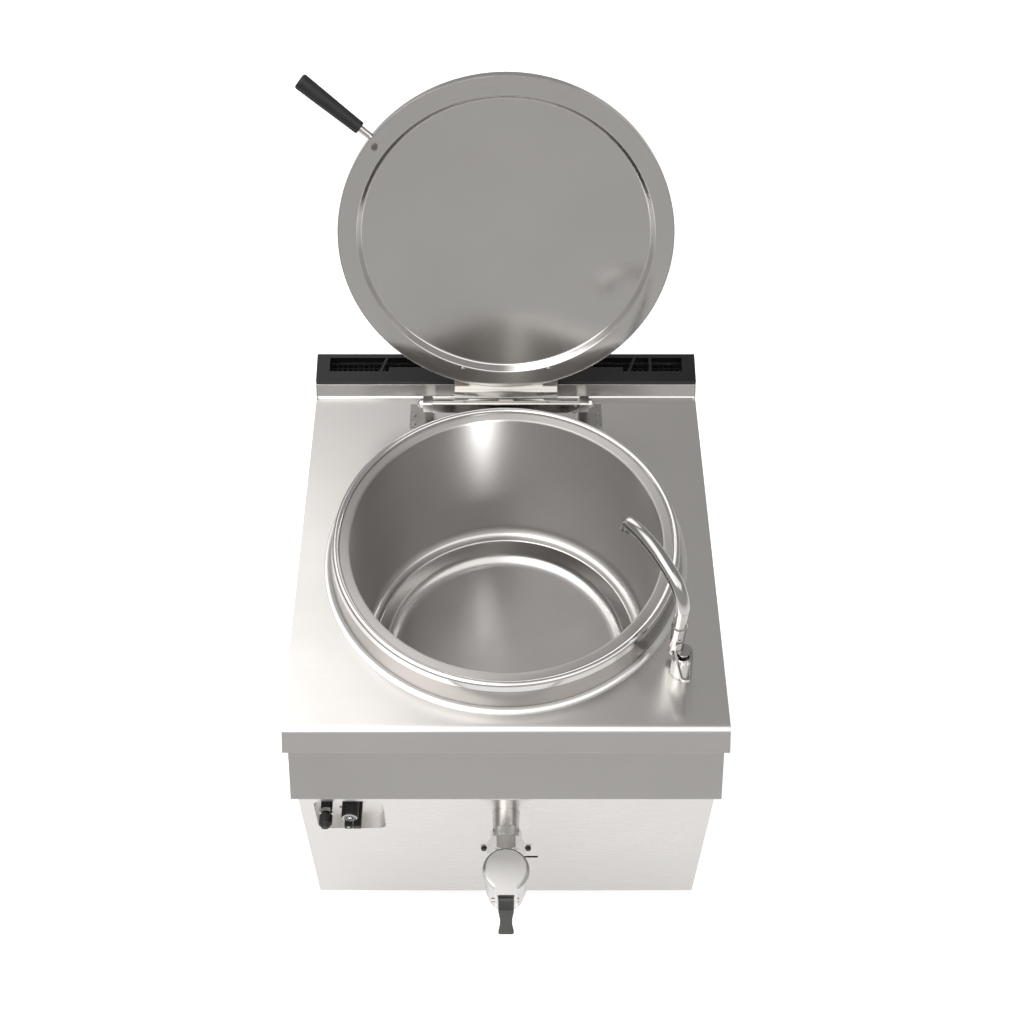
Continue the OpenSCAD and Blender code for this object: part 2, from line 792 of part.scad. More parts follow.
skin_path = concat(
    [[lid_r, lid_low]],
    arc(lid_shoulder, lid_round, 0, 90),
    [for (i = [0:5]) [lid_dome_r * (1 - i / 6), lid_top + dome_rise * sin(i * 18)]],
    [[0, lid_top + dome_rise]]);

module lid_solid() {
    rotate_extrude($fn = 180) polygon(concat(skin_path, [[0, lid_low]]));
}

module lid_skin_outer() {
    color("silver") at_top() open_lid() difference() {
        rotate_extrude($fn = 180) sheet(skin_path, lid_skin);
        for (s = [-1, 1]) translate([s * bolt_x, bolt_y, lid_low]) cylinder(d = bolt_d + 0.4, h = 60);
        handle_foot() translate([0, 0, lid_low - 10]) cylinder(d = bolt_d + 0.4, h = 60);
    }
}

module lid_liner() {
    color("gainsboro") at_top() open_lid() difference() {
        rotate_extrude($fn = 180) sheet(liner_path, -liner_t);
        for (s = [-1, 1]) translate([s * bolt_x, bolt_y, lid_low]) cylinder(d = bolt_d + 0.4, h = 60);
        handle_foot() translate([0, 0, lid_low - 10]) cylinder(d = bolt_d + 0.4, h = 60);
    }
}

module lid_bracket() {
    plate_y0 = hinge_y - bracket_reach;
    arm_h = lid_top + 0.05;
    knuckle_l = 30;
    jog_y = web_y - bracket_t - bracket_jog;
    front = [[plate_y0, arm_h], [jog_y, arm_h], [jog_y, arm_h - 12], [web_y - bracket_t, arm_h - 22],
        [web_y - bracket_t, web_low]];
    color("silver") at_top() open_lid() difference() {
        union() {
            across(2 * bracket_x) sheet(front, bracket_t);
            translate([0, hinge_y, hinge_h]) for (x = [-bracket_x, -knuckle_l / 2, bracket_x - knuckle_l])
                rod_x(x, x + knuckle_l, knuckle_d);
        }
        translate([0, hinge_y, hinge_h]) rod_x(-bracket_x - 1, bracket_x + 1, hinge_rod_d + 2 * run_fit);
        for (s = [-1, 1]) translate([s * bolt_x, bolt_y, lid_low]) cylinder(d = bolt_d + 0.4, h = 60);
    }
}

module lid_bracket_bolts() {
    head = 3.5;
    low = liner_low - head - 0.05;
    color("dimgray") at_top() open_lid() for (s = [-1, 1]) translate([s * bolt_x, bolt_y, 0]) {
        translate([0, 0, low]) cylinder(d1 = 7, d2 = 10, h = head);
        translate([0, 0, low + head]) cylinder(d = bolt_d, h = lid_top - low - head + bracket_t + 6);
        translate([0, 0, lid_top + bracket_t + 0.1]) cylinder(d = 10 / cos(30), h = 5, $fn = 6);
    }
}

// The upright line through the handle's foot
module handle_foot() {
    rotate([0, 0, -90 - handle_turn]) translate([handle_foot_r, 0, 0]) children();
}

// The handle's line: X runs outwards from its foot
module on_handle() {
    handle_foot() translate([0, 0, handle_foot_h]) rotate([0, -handle_pitch, 0]) children();
}

module lid_handle_rod() {
    color("silver") at_top() open_lid() difference() {
        union() {
            on_handle() rod_x(0, grip_gap + grip_bore, handle_rod_d);
            handle_foot() translate([0, 0, lid_low + lid_recess])
                cylinder(r = foot_r, h = handle_foot_h - lid_low - lid_recess);
            on_handle() sphere(d = handle_rod_d);
        }
        lid_solid();
        handle_foot() translate([0, 0, lid_low]) cylinder(d = bolt_d, h = handle_foot_h - lid_low + 3);
    }
}

module lid_handle_nut() {
    nut_h = 4;
    color("gray") at_top() open_lid() handle_foot() {
        translate([0, 0, liner_low - nut_h - 0.05]) cylinder(d = 13, h = nut_h, $fn = 6);
        translate([0, 0, liner_low - nut_h])
            cylinder(d = bolt_d, h = handle_foot_h - liner_low + nut_h + 2.8);
    }
}

module lid_grip() {
    near = grip_gap;
    color("black") at_top() open_lid() on_handle() difference() {
        rotate([0, 90, 0]) rotate_extrude() polygon(concat(
            [[0, near], [grip_neck_d / 2 - 1, near], [grip_neck_d / 2, near + 1]],
            arc([grip_d / 2 - grip_round, handle_l - grip_round], grip_round, 0, 90, 6), [[0, handle_l]]));
        rod_x(near - 1, near + grip_bore + 0.2, handle_rod_d + 0.1);
    }
}

// Water tap

module tap_place() {
    translate([tap_x, pan_y - tap_y, work_h]) children();
}

module spout_place() {
    tap_place() translate(spout_back * [-sin(branch_turn), cos(branch_turn), 0]) children();
}

module tap_body() {
    branch_h = tap_pillar_h - 14;
    socket_low = branch_h - socket_d / 2;
    shank_l = 50;
    color("silver") difference() {
        union() {
            tap_place() {
                cylinder(d = tap_d + 4, h = 2);
                translate([0, 0, 2]) cylinder(d = tap_d, h = tap_pillar_h - 2);
                translate([0, 0, tap_pillar_h]) cylinder(d1 = tap_d, d2 = 26, h = 5);
                translate([0, 0, branch_h]) rotate([0, 0, branch_turn]) rod_y(0, spout_back, socket_d - 3);
                translate([0, 0, -shank_l]) cylinder(d = shank_d, h = shank_l + 1);
            }
            spout_place() {
                translate([0, 0, socket_low]) cylinder(d1 = socket_d - 8, d2 = socket_d, h = 4);
                translate([0, 0, socket_low + 4]) cylinder(d = socket_d, h = socket_h - socket_low - 4);
            }
        }
        spout_place() translate([0, 0, branch_h + 6]) cylinder(d = stem_d + 2 * run_fit, h = socket_h);
        tap_place() {
            translate([0, 0, tap_pillar_h - 12]) cylinder(d = 10 + 2 * run_fit, h = 40);
            translate([0, 0, -shank_l - 1]) cylinder(d = 14, h = shank_l + tap_pillar_h - 20);
        }
    }
}

module tap_lever() {
    back_r = 17;
    end_w = 20;
    end_r = 8;
    rail = 4;
    outer = concat(arc([0, 0], back_r, -10, 190, 18),
        arc([-end_w / 2 + end_r, -lever_reach + end_r], end_r, 190, 270, 5),
        arc([end_w / 2 - end_r, -lever_reach + end_r], end_r, 270, 350, 5));
    inner = concat(arc([0, 0], back_r - rail, -10, 190, 18),
        arc([-end_w / 2 + end_r, -lever_reach + end_r], end_r - rail, 190, 270, 5),
        arc([end_w / 2 - end_r, -lever_reach + end_r], end_r - rail, 270, 350, 5));
    color("silver") tap_place() {
        translate([0, 0, hub_h + 1]) linear_extrude(height = 8) difference() {
            polygon(outer);
            polygon(inner);
        }
        translate([0, 0, tap_pillar_h + 5.3]) cylinder(r = back_r - 1, h = hub_h - tap_pillar_h - 4.3);
        translate([0, 0, hub_h + 1]) cylinder(d1 = 15, d2 = 24, h = 8);
        translate([0, 0, hub_h + 9]) cylinder(d = 24.4, h = 2);
        translate([0, 0, tap_pillar_h - 11]) cylinder(d = 10, h = hub_h - tap_pillar_h + 10);
    }
}

// A bent stretch of the spout about c, in its upright plane
module spout_arc(c, r, from, turn, d) {
    translate([c[0], 0, c[1]]) rotate([90, 0, 0]) rotate([0, 0, from])
        rotate_extrude(angle = turn, $fn = 72) translate([r, 0]) circle(d = d, $fn = 32);
}

// A brazed seam ring at point p, where the tube climbs at angle a
module spout_seam(p, a, d) {
    translate([p[0], 0, p[1]]) rotate([0, 90 - a, 0]) translate([0, 0, -0.5])
        cylinder(d = d + 0.4, h = 1, $fn = 32);
}

// The whole way of the spout as a rod of diameter d, from a height above its foot, longer by tip
module spout_way(d, foot, tip) {
    bend = 72;
    climb = 90 - bend;
    fall = 22.7;
    nose_r = 14;
    nose_bend = 60;
    c1 = [spout_bend_r, spout_rise];
    p1 = c1 + spout_bend_r * [-cos(bend), sin(bend)];
    c2 = p1 + spout_arch_r * [sin(climb), -cos(climb)];
    p2 = c2 + spout_arch_r * [sin(fall), cos(fall)];
    c3 = p2 - nose_r * [sin(fall), cos(fall)];
    p3 = c3 + nose_r * [sin(fall + nose_bend), cos(fall + nose_bend)];
    translate([0, 0, spout_foot_h + foot]) cylinder(d = d, h = spout_rise - spout_foot_h - foot, $fn = 32);
    spout_arc(c1, spout_bend_r, 180 - bend, bend, d);
    spout_arc(c2, spout_arch_r, 90 - fall, climb + fall, d);
    spout_arc(c3, nose_r, 90 - fall - nose_bend, nose_bend, d);
    spout_seam([0, spout_rise], 90, d);
    spout_seam(p1, climb, d);
    spout_seam(p2, -fall, d);
    spout_seam(p3, -fall - nose_bend, d);
    translate([p3[0], 0, p3[1]]) rotate([0, 90 + fall + nose_bend, 0])
        cylinder(d = d, h = 10 + tip, $fn = 32);
}

module tap_spout() {
    wall = 2;
    stem_l = 52;
    color("silver") spout_place() rotate([0, 0, spout_turn]) difference() {
        union() {
            spout_way(spout_d, 0, 0);
            translate([0, 0, spout_foot_h - stem_l]) cylinder(d = stem_d, h = stem_l + 1);
        }
        spout_way(spout_d - 2 * wall, 3, 1);
        translate([0, 0, spout_foot_h - stem_l - 1]) cylinder(d = stem_d - 2 * wall, h = stem_l + 6);
    }
}

module tap_spout_nut() {
    color("silver") spout_place() translate([0, 0, socket_h + 0.1]) difference() {
        union() {
            cylinder(d = socket_d + 2, h = 9);
            translate([0, 0, 9]) cylinder(d1 = socket_d + 2, d2 = spout_d, h = 3);
        }
        translate([0, 0, -1]) cylinder(d = stem_d + 2 * seat_gap, h = 20);
    }
}

module tap_back_nut() {
    color("gray") tap_place() translate([0, 0, -top_t - 10.1]) difference() {
        union() {
            cylinder(d = 42 / cos(30), h = 8, $fn = 6);
            translate([0, 0, 8]) cylinder(d = 44, h = 2);
        }
        translate([0, 0, -1]) cylinder(d = shank_d + 0.2, h = 14);
    }
}

module water_pipe() {
    d = water_pipe_d;
    bend_z = water_in[1];
    color("silver") at_top() difference() {
        union() {
            translate([tap_x, -tap_y, bend_z]) cylinder(d = d, h = -50.2 - bend_z);
            translate([tap_x, -tap_y, bend_z]) sphere(d = d);
            translate([tap_x, 0, bend_z]) rod_y(-tap_y, pipe_turn_y, d);
            translate([tap_x, pipe_turn_y, bend_z]) sphere(d = d);
            translate([0, pipe_turn_y, bend_z]) rod_x(water_in[0], tap_x, d);
            translate([water_in[0], pipe_turn_y, bend_z]) sphere(d = d);
            translate([water_in[0], 0, bend_z]) pipe_end(d);
        }
        translate([water_in[0], 0, bend_z]) rod_y(back_y - 20, back_y + 40, d - 5);
    }
}

// Drain

module drain_axis() {
    translate([0, 0, -drain_drop]) children();
}

module drain_pipe() {
    color("silver") at_top() difference() {
        drain_axis() rod_y(ring_y0 - ring_l - 20, -floor_r, drain_d);
        pan_solid();
        drain_axis() rod_y(ring_y0 - ring_l - 30, -floor_r + 1, 2 * drain_bore_r);
    }
}

plate_low = drain_drop + 163;
plate_high = drain_drop - 60;
plate_bolt_x = 45;
plate_bolt_z = -plate_low + 10;
plate_t = 3;
plate_w = 100;

module drain_plate() {
    color("gainsboro") at_top() difference() {
        translate([-plate_w / 2, -front_y - plate_t, -plate_low])
            cube([plate_w, plate_t, plate_low - plate_high]);
        drain_axis() rod_y(-front_y - 10, -front_y + 4, drain_d + 2 * seat_gap);
        for (s = [-1, 1]) translate([s * plate_bolt_x, 0, plate_bolt_z])
            rod_y(-front_y - 10, -front_y + 4, 6.4);
    }
}

module drain_plate_bolts() {
    color("black") at_top() for (s = [-1, 1]) translate([s * plate_bolt_x, 0, plate_bolt_z]) {
        rod_y(-front_y - plate_t - 5, -front_y - plate_t - 1.6, 10);
        rod_y(-front_y - plate_t - 1.6, -front_y - plate_t - 0.05, 12.5);
        rod_y(-front_y - plate_t - 0.1, -front_y - 0.1, 6);
    }
}

module drain_ring() {
    ring_d = 62;
    color("silver") at_top() drain_axis() difference() {
        union() {
            rod_y(ring_y0 - ring_l, ring_y0 - 3, ring_d);
            translate([0, ring_y0 - 3, 0]) rotate([-90, 0, 0]) cylinder(d1 = ring_d, d2 = ring_d - 4, h = 3);
        }
        rod_y(ring_y0 - ring_l - 1, ring_y0 + 1, drain_d + 0.1);
        for (k = [0:7]) rotate([0, k * 45, 0])
            translate([-5, ring_y0 - 11, drain_d / 2 + 1]) cube([10, 12, 10]);
    }
}

module drain_union_nut() {
    y1 = ring_y0 - ring_l - 0.1;
    color("silver") at_top() drain_axis() difference() {
        intersection() {
            translate([0, y1 - union_l, 0]) rotate([-90, 0, 0])
                cylinder(d = union_af / cos(30), h = union_l, $fn = 6);
            translate([0, y1 - union_l, 0]) rotate([-90, 0, 0]) union() {
                cylinder(d1 = union_af - 1, d2 = union_af / cos(30), h = 4);
                translate([0, 0, 4]) cylinder(d = union_af / cos(30), h = union_l - 8);
                translate([0, 0, union_l - 4]) cylinder(d1 = union_af / cos(30), d2 = union_af - 1, h = 4);
            }
        }
        rod_y(y1 - union_l - 1, y1 + 1, drain_d + 0.1);
    }
}

plug_top_r = 27;
plug_low_r = 24;
plug_low = -388;

module plug_cone(gap) {
    rotate_extrude($fn = 96) polygon([[0, cap_h], [plug_top_r + gap, cap_h],
        [plug_low_r + gap, plug_low], [0, plug_low]]);
}

module valve_body() {
    neck_y = ring_y0 - ring_l - 20.2;
    color("silver") at_top() difference() {
        union() {
            translate([0, valve_y, 0]) rotate_extrude($fn = 96) polygon(concat(
                [[0, valve_top], [rim_r - 1, valve_top], [rim_r, valve_top - 1],
                    [rim_r, valve_top - 9], [valve_d / 2, valve_top - 13]],
                arc([valve_d / 2 - 10, outlet_h + 34], 10, 0, -60, 6),
                [[outlet_d / 2, outlet_h + 16], [outlet_d / 2, outlet_h], [0, outlet_h]]));
            drain_axis() rod_y(valve_y, neck_y, drain_d);
        }
        translate([0, valve_y, 0]) plug_cone(run_fit);
        translate([0, valve_y, outlet_h - 1]) cylinder(d = outlet_d - 10, h = plug_low - outlet_h + 1.01);
        drain_axis() rod_y(valve_y, neck_y + 1, 2 * drain_bore_r - 10);
        drain_axis() rod_y(neck_y - 12, neck_y + 1, 2 * drain_bore_r);
    }
}

module valve_plug() {
    ear_t = 5;
    color("silver") at_top() translate([0, valve_y, 0]) {
        difference() {
            union() {
                plug_cone(0);
                translate([0, 0, cap_h]) cylinder(d = cap_d, h = cap_t - 1.5, $fn = 96);
                translate([0, 0, cap_h + cap_t - 1.5])
                    cylinder(d1 = cap_d, d2 = cap_d - 3, h = 1.5, $fn = 96);
                translate([-tongue_w / 2, tongue_end - valve_y, cap_h]) cube([tongue_w, cap_d / 2, cap_t]);
                translate([-tongue_w / 2, tongue_end - valve_y, pin_h + 1])
                    cube([tongue_w, 3, cap_h - pin_h]);
                for (s = [-1, 1])
                    translate([s * (tongue_w / 2 - ear_t / 2), 0, 0]) across(ear_t)
                        polygon([[tongue_end - valve_y + 8, cap_h], [tongue_end - valve_y + 8, cap_h + cap_t],
                            [pin_y - valve_y - 2, cap_h + cap_t], [pin_y - valve_y - 8, pin_h],
                            [pin_y - valve_y - 8, pin_h - 12], [pin_y - valve_y + 4, pin_h - 12],
                            [pin_y - valve_y + 4, cap_h]]);
            }
            translate([0, 0, plug_low - 1]) cylinder(d = 36, h = 68);
            translate([0, 0, -drain_drop]) rod_x(0, 40, 34);
            translate([0, pin_y - valve_y, pin_h]) rod_x(-40, 40, pin_d + 0.1);
        }
    }
}

module valve_pin() {
    color("gray") at_top() translate([0, pin_y, pin_h]) {
        rod_x(-tongue_w / 2 - 6, tongue_w / 2 + 3, pin_d);
        rod_x(-tongue_w / 2 - 6, -tongue_w / 2 - 0.1, 10);
        rod_x(tongue_w / 2 + 0.1, tongue_w / 2 + 3, 9);
    }
}

module drain_handle() {
    eye_r = pin_d / 2 + 1.6;
    tip_y = -drain_handle_reach;
    waist = drain_handle_w - 6;
    heel_y = pin_out - rim_r - seat_gap;
    side = concat([[heel_y, -9], [heel_y, -5]], arc([0, 0], eye_r, 0, 180),
        [[-6, -4], [-12, -18], [tip_y + 3, -27], [tip_y, -29], [tip_y, -34], [tip_y + 2, -36],
            [-8, -27], [-1, -20]]);
    color("black") at_top() translate([0, pin_y, pin_h]) difference() {
        intersection() {
            across(drain_handle_w + 2) polygon(side);
            translate([0, 0, -50]) linear_extrude(height = 70) polygon(concat(
                [[-drain_handle_w / 2, 12], [-drain_handle_w / 2, -12], [-waist / 2, -24],
                    [-waist / 2, tip_y + 16]],
                arc([-drain_handle_w / 2 + 4, tip_y + 4], 4, 180, 270, 4),
                arc([drain_handle_w / 2 - 4, tip_y + 4], 4, 270, 360, 4),
                [[waist / 2, tip_y + 16], [waist / 2, -24], [drain_handle_w / 2, -12],
                    [drain_handle_w / 2, 12]]));
        }
        rod_x(-30, 30, pin_d + 2 * run_fit);
    }
}

// Gas controls

module control_recess() {
    outer_w = control_w + 2 * recess_wall;
    outer_h = control_h + 2 * recess_wall;
    color("silver") at_top() difference() {
        translate([-control_x, front_in + 0.05, control_z]) rotate([-90, 0, 0]) {
            linear_extrude(height = recess_wall) round_rect(control_w + 24, control_h + 24, 20);
            linear_extrude(height = recess_d) round_rect(outer_w, outer_h, 15 + recess_wall);
        }
        translate([-control_x, front_in - 1, control_z]) rotate([-90, 0, 0])
            linear_extrude(height = recess_d + 1 - recess_wall) round_rect(control_w, control_h, 15);
        translate([knob_x, 0, knob_z]) rod_y(recess_back - 10, recess_back + 10, 24);
        translate([igniter_x, 0, knob_z]) rod_y(recess_back - 10, recess_back + 10, 16.2);
        for (x = button_places) button_space(x, recess_back - 10, 20);
    }
}

// The slot of the push button at x beside the knob, from y over a length l
module button_space(x, y, l) {
    translate([knob_x + x - button_w / 2 - slide_gap, y, button_z - button_h / 2 - slide_gap])
        cube([button_w + 2 * slide_gap, l, button_h + 2 * slide_gap]);
}

module gas_valve() {
    color("gray") at_top() difference() {
        union() {
            translate([knob_x - 36, valve_face + 4, button_z - 24]) cube([72, 56, 72]);
            translate([knob_x - 30, valve_face, button_z - 16]) cube([60, 5, 52]);
            translate([knob_x, manifold_y, button_z]) rod_x(-valve_boss, valve_boss, 30);
        }
        translate([knob_x, 0, knob_z]) rod_y(valve_face - 1, valve_face + 31, 8 + 2 * run_fit);
        for (x = button_places) button_space(x, valve_face - 1, 24);
    }
}

module gas_knob() {
    face = -front_y - knob_out;
    back = recess_back - 12;
    color("black") at_top() translate([knob_x, 0, knob_z]) {
        rod_y(face + 2, back, knob_d);
        translate([0, face, 0]) rotate([-90, 0, 0]) cylinder(d1 = knob_d - 3, d2 = knob_d, h = 2);
        rod_y(back - 1, recess_back + 30, 8);
    }
}

module gas_knob_dial() {
    face = -front_y - knob_out;
    color("lightgray") at_top() translate([knob_x, 0, knob_z]) difference() {
        rod_y(face - 0.9, face - 0.02, knob_d - 5);
        for (a = [0:30:330]) rotate([0, a, 0])
            translate([-0.5, face - 1.5, knob_d / 2 - 6]) cube([1, 1, 2.6]);
    }
}

module push_button(x) {
    depth = 14;
    color("black") at_top()
        translate([knob_x + x - button_w / 2, -front_y - button_out, button_z - button_h / 2])
            cube([button_w, button_out + front_y + recess_back + depth, button_h]);
}

module pilot_button() { push_button(button_places[0]); }
module off_button() { push_button(button_places[1]); }

module igniter_body() {
    ring_y = -front_y - 7;
    color("black") at_top() translate([igniter_x, 0, knob_z]) difference() {
        union() {
            rod_y(ring_y + 4, recess_back - recess_wall - 0.05, 23);
            rod_y(ring_y, ring_y + 4.1, 25);
            rod_y(recess_back - 5, recess_back + 20, 16);
        }
        rod_y(ring_y - 1, recess_back + 5, 10 + 2 * slide_gap);
    }
}

module igniter_button() {
    face = -front_y - igniter_out;
    ring_y = -front_y - 7;
    back = ring_y - igniter_travel - 0.6;
    color("black") at_top() translate([igniter_x, 0, knob_z]) {
        translate([0, face, 0]) rotate([-90, 0, 0]) cylinder(d1 = igniter_d - 12, d2 = igniter_d, h = 8);
        rod_y(face + 8, back, igniter_d);
        rod_y(back - 1, recess_back - 1, 10);
    }
}

// Heating

module combustion_casing() {
    color("darkgray") at_top() difference() {
        translate([0, 0, -casing_drop]) cylinder(r = casing_r, h = casing_drop + casing_top, $fn = 180);
        translate([0, 0, -casing_drop - 1])
            cylinder(r = casing_r - casing_t, h = casing_drop + casing_top + 2, $fn = 180);
        translate([-duct_x + 2, 0, flue_low + 2]) cube([2 * duct_x - 4, 400, 76]);
        drain_axis() rod_y(-casing_r - 10, -casing_r + 60, drain_d + 2);
    }
}

module insulation() {
    low = -casing_drop + 10;
    high = -60;
    r = casing_r + insulation_t;
    color("khaki") at_top() difference() {
        translate([0, 0, low]) cylinder(r = r, h = high - low, $fn = 180);
        translate([0, 0, low - 1]) cylinder(r = casing_r + seat_gap, h = high - low + 2, $fn = 180);
        translate([-duct_x - 4, 0, flue_low - 4]) cube([2 * duct_x + 8, 400, 90]);
        drain_axis() rod_y(-r - 10, -casing_r + 60, drain_d + 6);
    }
}

module burner_places() {
    for (i = [0:burner_n - 1]) translate([(i - (burner_n - 1) / 2) * burner_pitch, 0, 0]) children();
}

module burner() {
    slots = 18;
    wall = 1.5;
    rail_w = 30;
    rail_t = 3;
    rail_x = half_w - panel_t - seat_gap;
    venturi_d = burner_d - 8;
    venturi_y = manifold_y + 16;
    color("gray") at_top() translate([0, 0, burner_z]) {
        burner_places() difference() {
            union() {
                rod_y(-burner_l / 2, burner_l / 2, burner_d);
                rod_y(venturi_y, 1 - burner_l / 2, venturi_d);
            }
            rod_y(wall - burner_l / 2, burner_l / 2 - wall, burner_d - 2 * wall);
            rod_y(venturi_y - 1, 5 - burner_l / 2, venturi_d - 2 * wall);
            for (k = [0:slots - 1]) translate([-7, 40 - burner_l / 2 + k * 20, 0]) cube([14, 4, burner_d]);
        }
        for (s = [-1, 1]) translate([-rail_x, s * rail_y - rail_w / 2, -burner_d / 2 - rail_t])
            cube([2 * rail_x, rail_w, rail_t]);
    }
}

module gas_manifold() {
    reach = (burner_n - 1) / 2 * burner_pitch + 24;
    drop_x = knob_x + valve_boss + 25;
    color("goldenrod") at_top() translate([0, manifold_y, 0]) {
        translate([0, 0, button_z]) rod_x(knob_x + valve_boss + 0.2, drop_x, gas_pipe_d);
        translate([drop_x, 0, button_z]) sphere(d = gas_pipe_d);
        translate([drop_x, 0, burner_z]) cylinder(d = gas_pipe_d, h = button_z - burner_z);
        translate([drop_x, 0, burner_z]) sphere(d = gas_pipe_d);
        translate([0, 0, burner_z]) rod_x(drop_x, reach, gas_pipe_d);
        translate([0, 0, burner_z]) burner_places() {
            rod_y(0, 20, 12);
            rod_y(19, 26, 8);
        }
    }
}

module pilot_burner() {
    foot_z = -burner_d / 2;
    color("gray") at_top() translate([-burner_pitch / 2, -rail_y, burner_z]) {
        translate([-12, -8, foot_z]) cube([24, 16, 2]);
        translate([-6, 0, foot_z]) cylinder(d = 9, h = 36);
        translate([6, 0, foot_z]) cylinder(d = 5, h = 42);
        translate([-6, 0, foot_z + 8]) rod_y(-24, 0, 6);
    }
}

module gas_pipe() {
    d = gas_pipe_d;
    left_x = 40 - half_w;
    low = gas_in[1];
    color("goldenrod") at_top() difference() {
        union() {
            translate([0, manifold_y, button_z]) rod_x(left_x, knob_x - valve_boss - 0.2, d);
            translate([left_x, manifold_y, button_z]) sphere(d = d);
            translate([left_x, manifold_y, low]) cylinder(d = d, h = button_z - low);
            translate([left_x, manifold_y, low]) sphere(d = d);
            translate([left_x, 0, low]) rod_y(manifold_y, pipe_turn_y, d);
            translate([left_x, pipe_turn_y, low]) sphere(d = d);
            translate([0, pipe_turn_y, low]) rod_x(left_x, gas_in[0], d);
            translate([gas_in[0], pipe_turn_y, low]) sphere(d = d);
            translate([gas_in[0], 0, low]) pipe_end(d);
        }
        translate([gas_in[0], 0, low]) rod_y(back_y - 20, back_y + 40, d - 5);
    }
}

worktop();
pan_collar();
pan_shell();
control_panel();
front_panel();
side_panel_left();
side_panel_right();
back_panel();
base_frame();
legs();
foot_front_left();
foot_front_right();
foot_rear_left();
foot_rear_right();
flue_cover();
flue_mesh();
flue_box();
hinge_bearing_left();
hinge_bearing_right();
hinge_rod();
hinge_nuts();
hinge_cover();
hinge_springs();
hinge_screws();
lid_skin_outer();
lid_liner();
lid_bracket();
lid_bracket_bolts();
lid_handle_rod();
lid_handle_nut();
lid_grip();
tap_body();
tap_lever();
tap_spout();
tap_spout_nut();
tap_back_nut();
water_pipe();
drain_pipe();
drain_plate();
drain_plate_bolts();
drain_ring();
drain_union_nut();
valve_body();
valve_plug();
valve_pin();
drain_handle();
control_recess();
gas_valve();
gas_knob();
gas_knob_dial();
pilot_button();
off_button();
igniter_body();
igniter_button();
burner();
gas_manifold();
pilot_burner();
gas_pipe();
combustion_casing();
insulation();
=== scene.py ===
import json
import math

import bmesh
import bpy
from mathutils import Matrix, Vector

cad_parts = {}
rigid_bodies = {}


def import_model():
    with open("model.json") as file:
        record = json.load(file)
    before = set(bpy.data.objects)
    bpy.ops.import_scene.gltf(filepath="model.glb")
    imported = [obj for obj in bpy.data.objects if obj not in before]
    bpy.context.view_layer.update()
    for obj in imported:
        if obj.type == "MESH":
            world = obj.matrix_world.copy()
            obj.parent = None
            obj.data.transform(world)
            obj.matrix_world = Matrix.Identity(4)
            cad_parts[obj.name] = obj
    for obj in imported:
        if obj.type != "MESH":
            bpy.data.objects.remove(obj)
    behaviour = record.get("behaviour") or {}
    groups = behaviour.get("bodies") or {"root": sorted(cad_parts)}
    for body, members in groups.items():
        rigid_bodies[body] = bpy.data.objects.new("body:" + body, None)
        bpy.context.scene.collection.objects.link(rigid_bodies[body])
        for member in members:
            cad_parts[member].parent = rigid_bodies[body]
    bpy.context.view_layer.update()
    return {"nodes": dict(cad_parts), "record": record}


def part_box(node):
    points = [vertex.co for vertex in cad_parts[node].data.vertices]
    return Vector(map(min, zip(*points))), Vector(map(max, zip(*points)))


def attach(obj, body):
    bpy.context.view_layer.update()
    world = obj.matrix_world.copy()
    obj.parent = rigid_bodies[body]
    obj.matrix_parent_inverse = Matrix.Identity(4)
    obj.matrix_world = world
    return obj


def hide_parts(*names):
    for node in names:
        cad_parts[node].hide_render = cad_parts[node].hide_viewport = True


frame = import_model()
nodes = frame["nodes"]
print("frame loaded:", len(nodes), "nodes")

# Reference places in metres: the gas knob's centre and the pan's axis come from the frame,
# and topHeight is the worktop's height above the floor
joints = {joint["name"]: joint for joint in frame["record"]["behaviour"]["joints"]}
knobPos = Vector(joints["gas_knob_turn"]["pos_m"])
panY = sum(corner[1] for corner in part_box("pan_shell")) / 2
topHeight = 0.85


# An sRGB hex colour as linear RGBA
def linearColour(hexColour):
    channels = [int(hexColour[i:i + 2], 16) / 255 for i in (1, 3, 5)]
    linear = [c / 12.92 if c <= 0.04045 else ((c + 0.055) / 1.055) ** 2.4 for c in channels]
    return (*linear, 1.0)


# One node with its settings, and its inputs as values or as links from other sockets
def addNode(tree, kind, settings=None, inputs=None):
    node = tree.nodes.new(kind)
    node.location = (220 * len(tree.nodes), 0)
    for key, value in (settings or {}).items():
        setattr(node, key, value)
    for key, value in (inputs or {}).items():
        if isinstance(value, bpy.types.NodeSocket):
            tree.links.new(value, node.inputs[key])
        else:
            node.inputs[key].default_value = value
    return node


# A material with an empty tree
def newMaterial(name):
    material = bpy.data.materials.new(name)
    material.use_nodes = True
    material.node_tree.nodes.clear()
    return material, material.node_tree


# Depth of relief in metres that "relief" takes a share of, and the middle part of a noise's
# values, which the tones and the roughness are spread over
surfaceSpec = {"metalDepth": 0.0001, "coatDepth": 0.0003, "cloudLow": 0.35, "cloudHigh": 0.65}


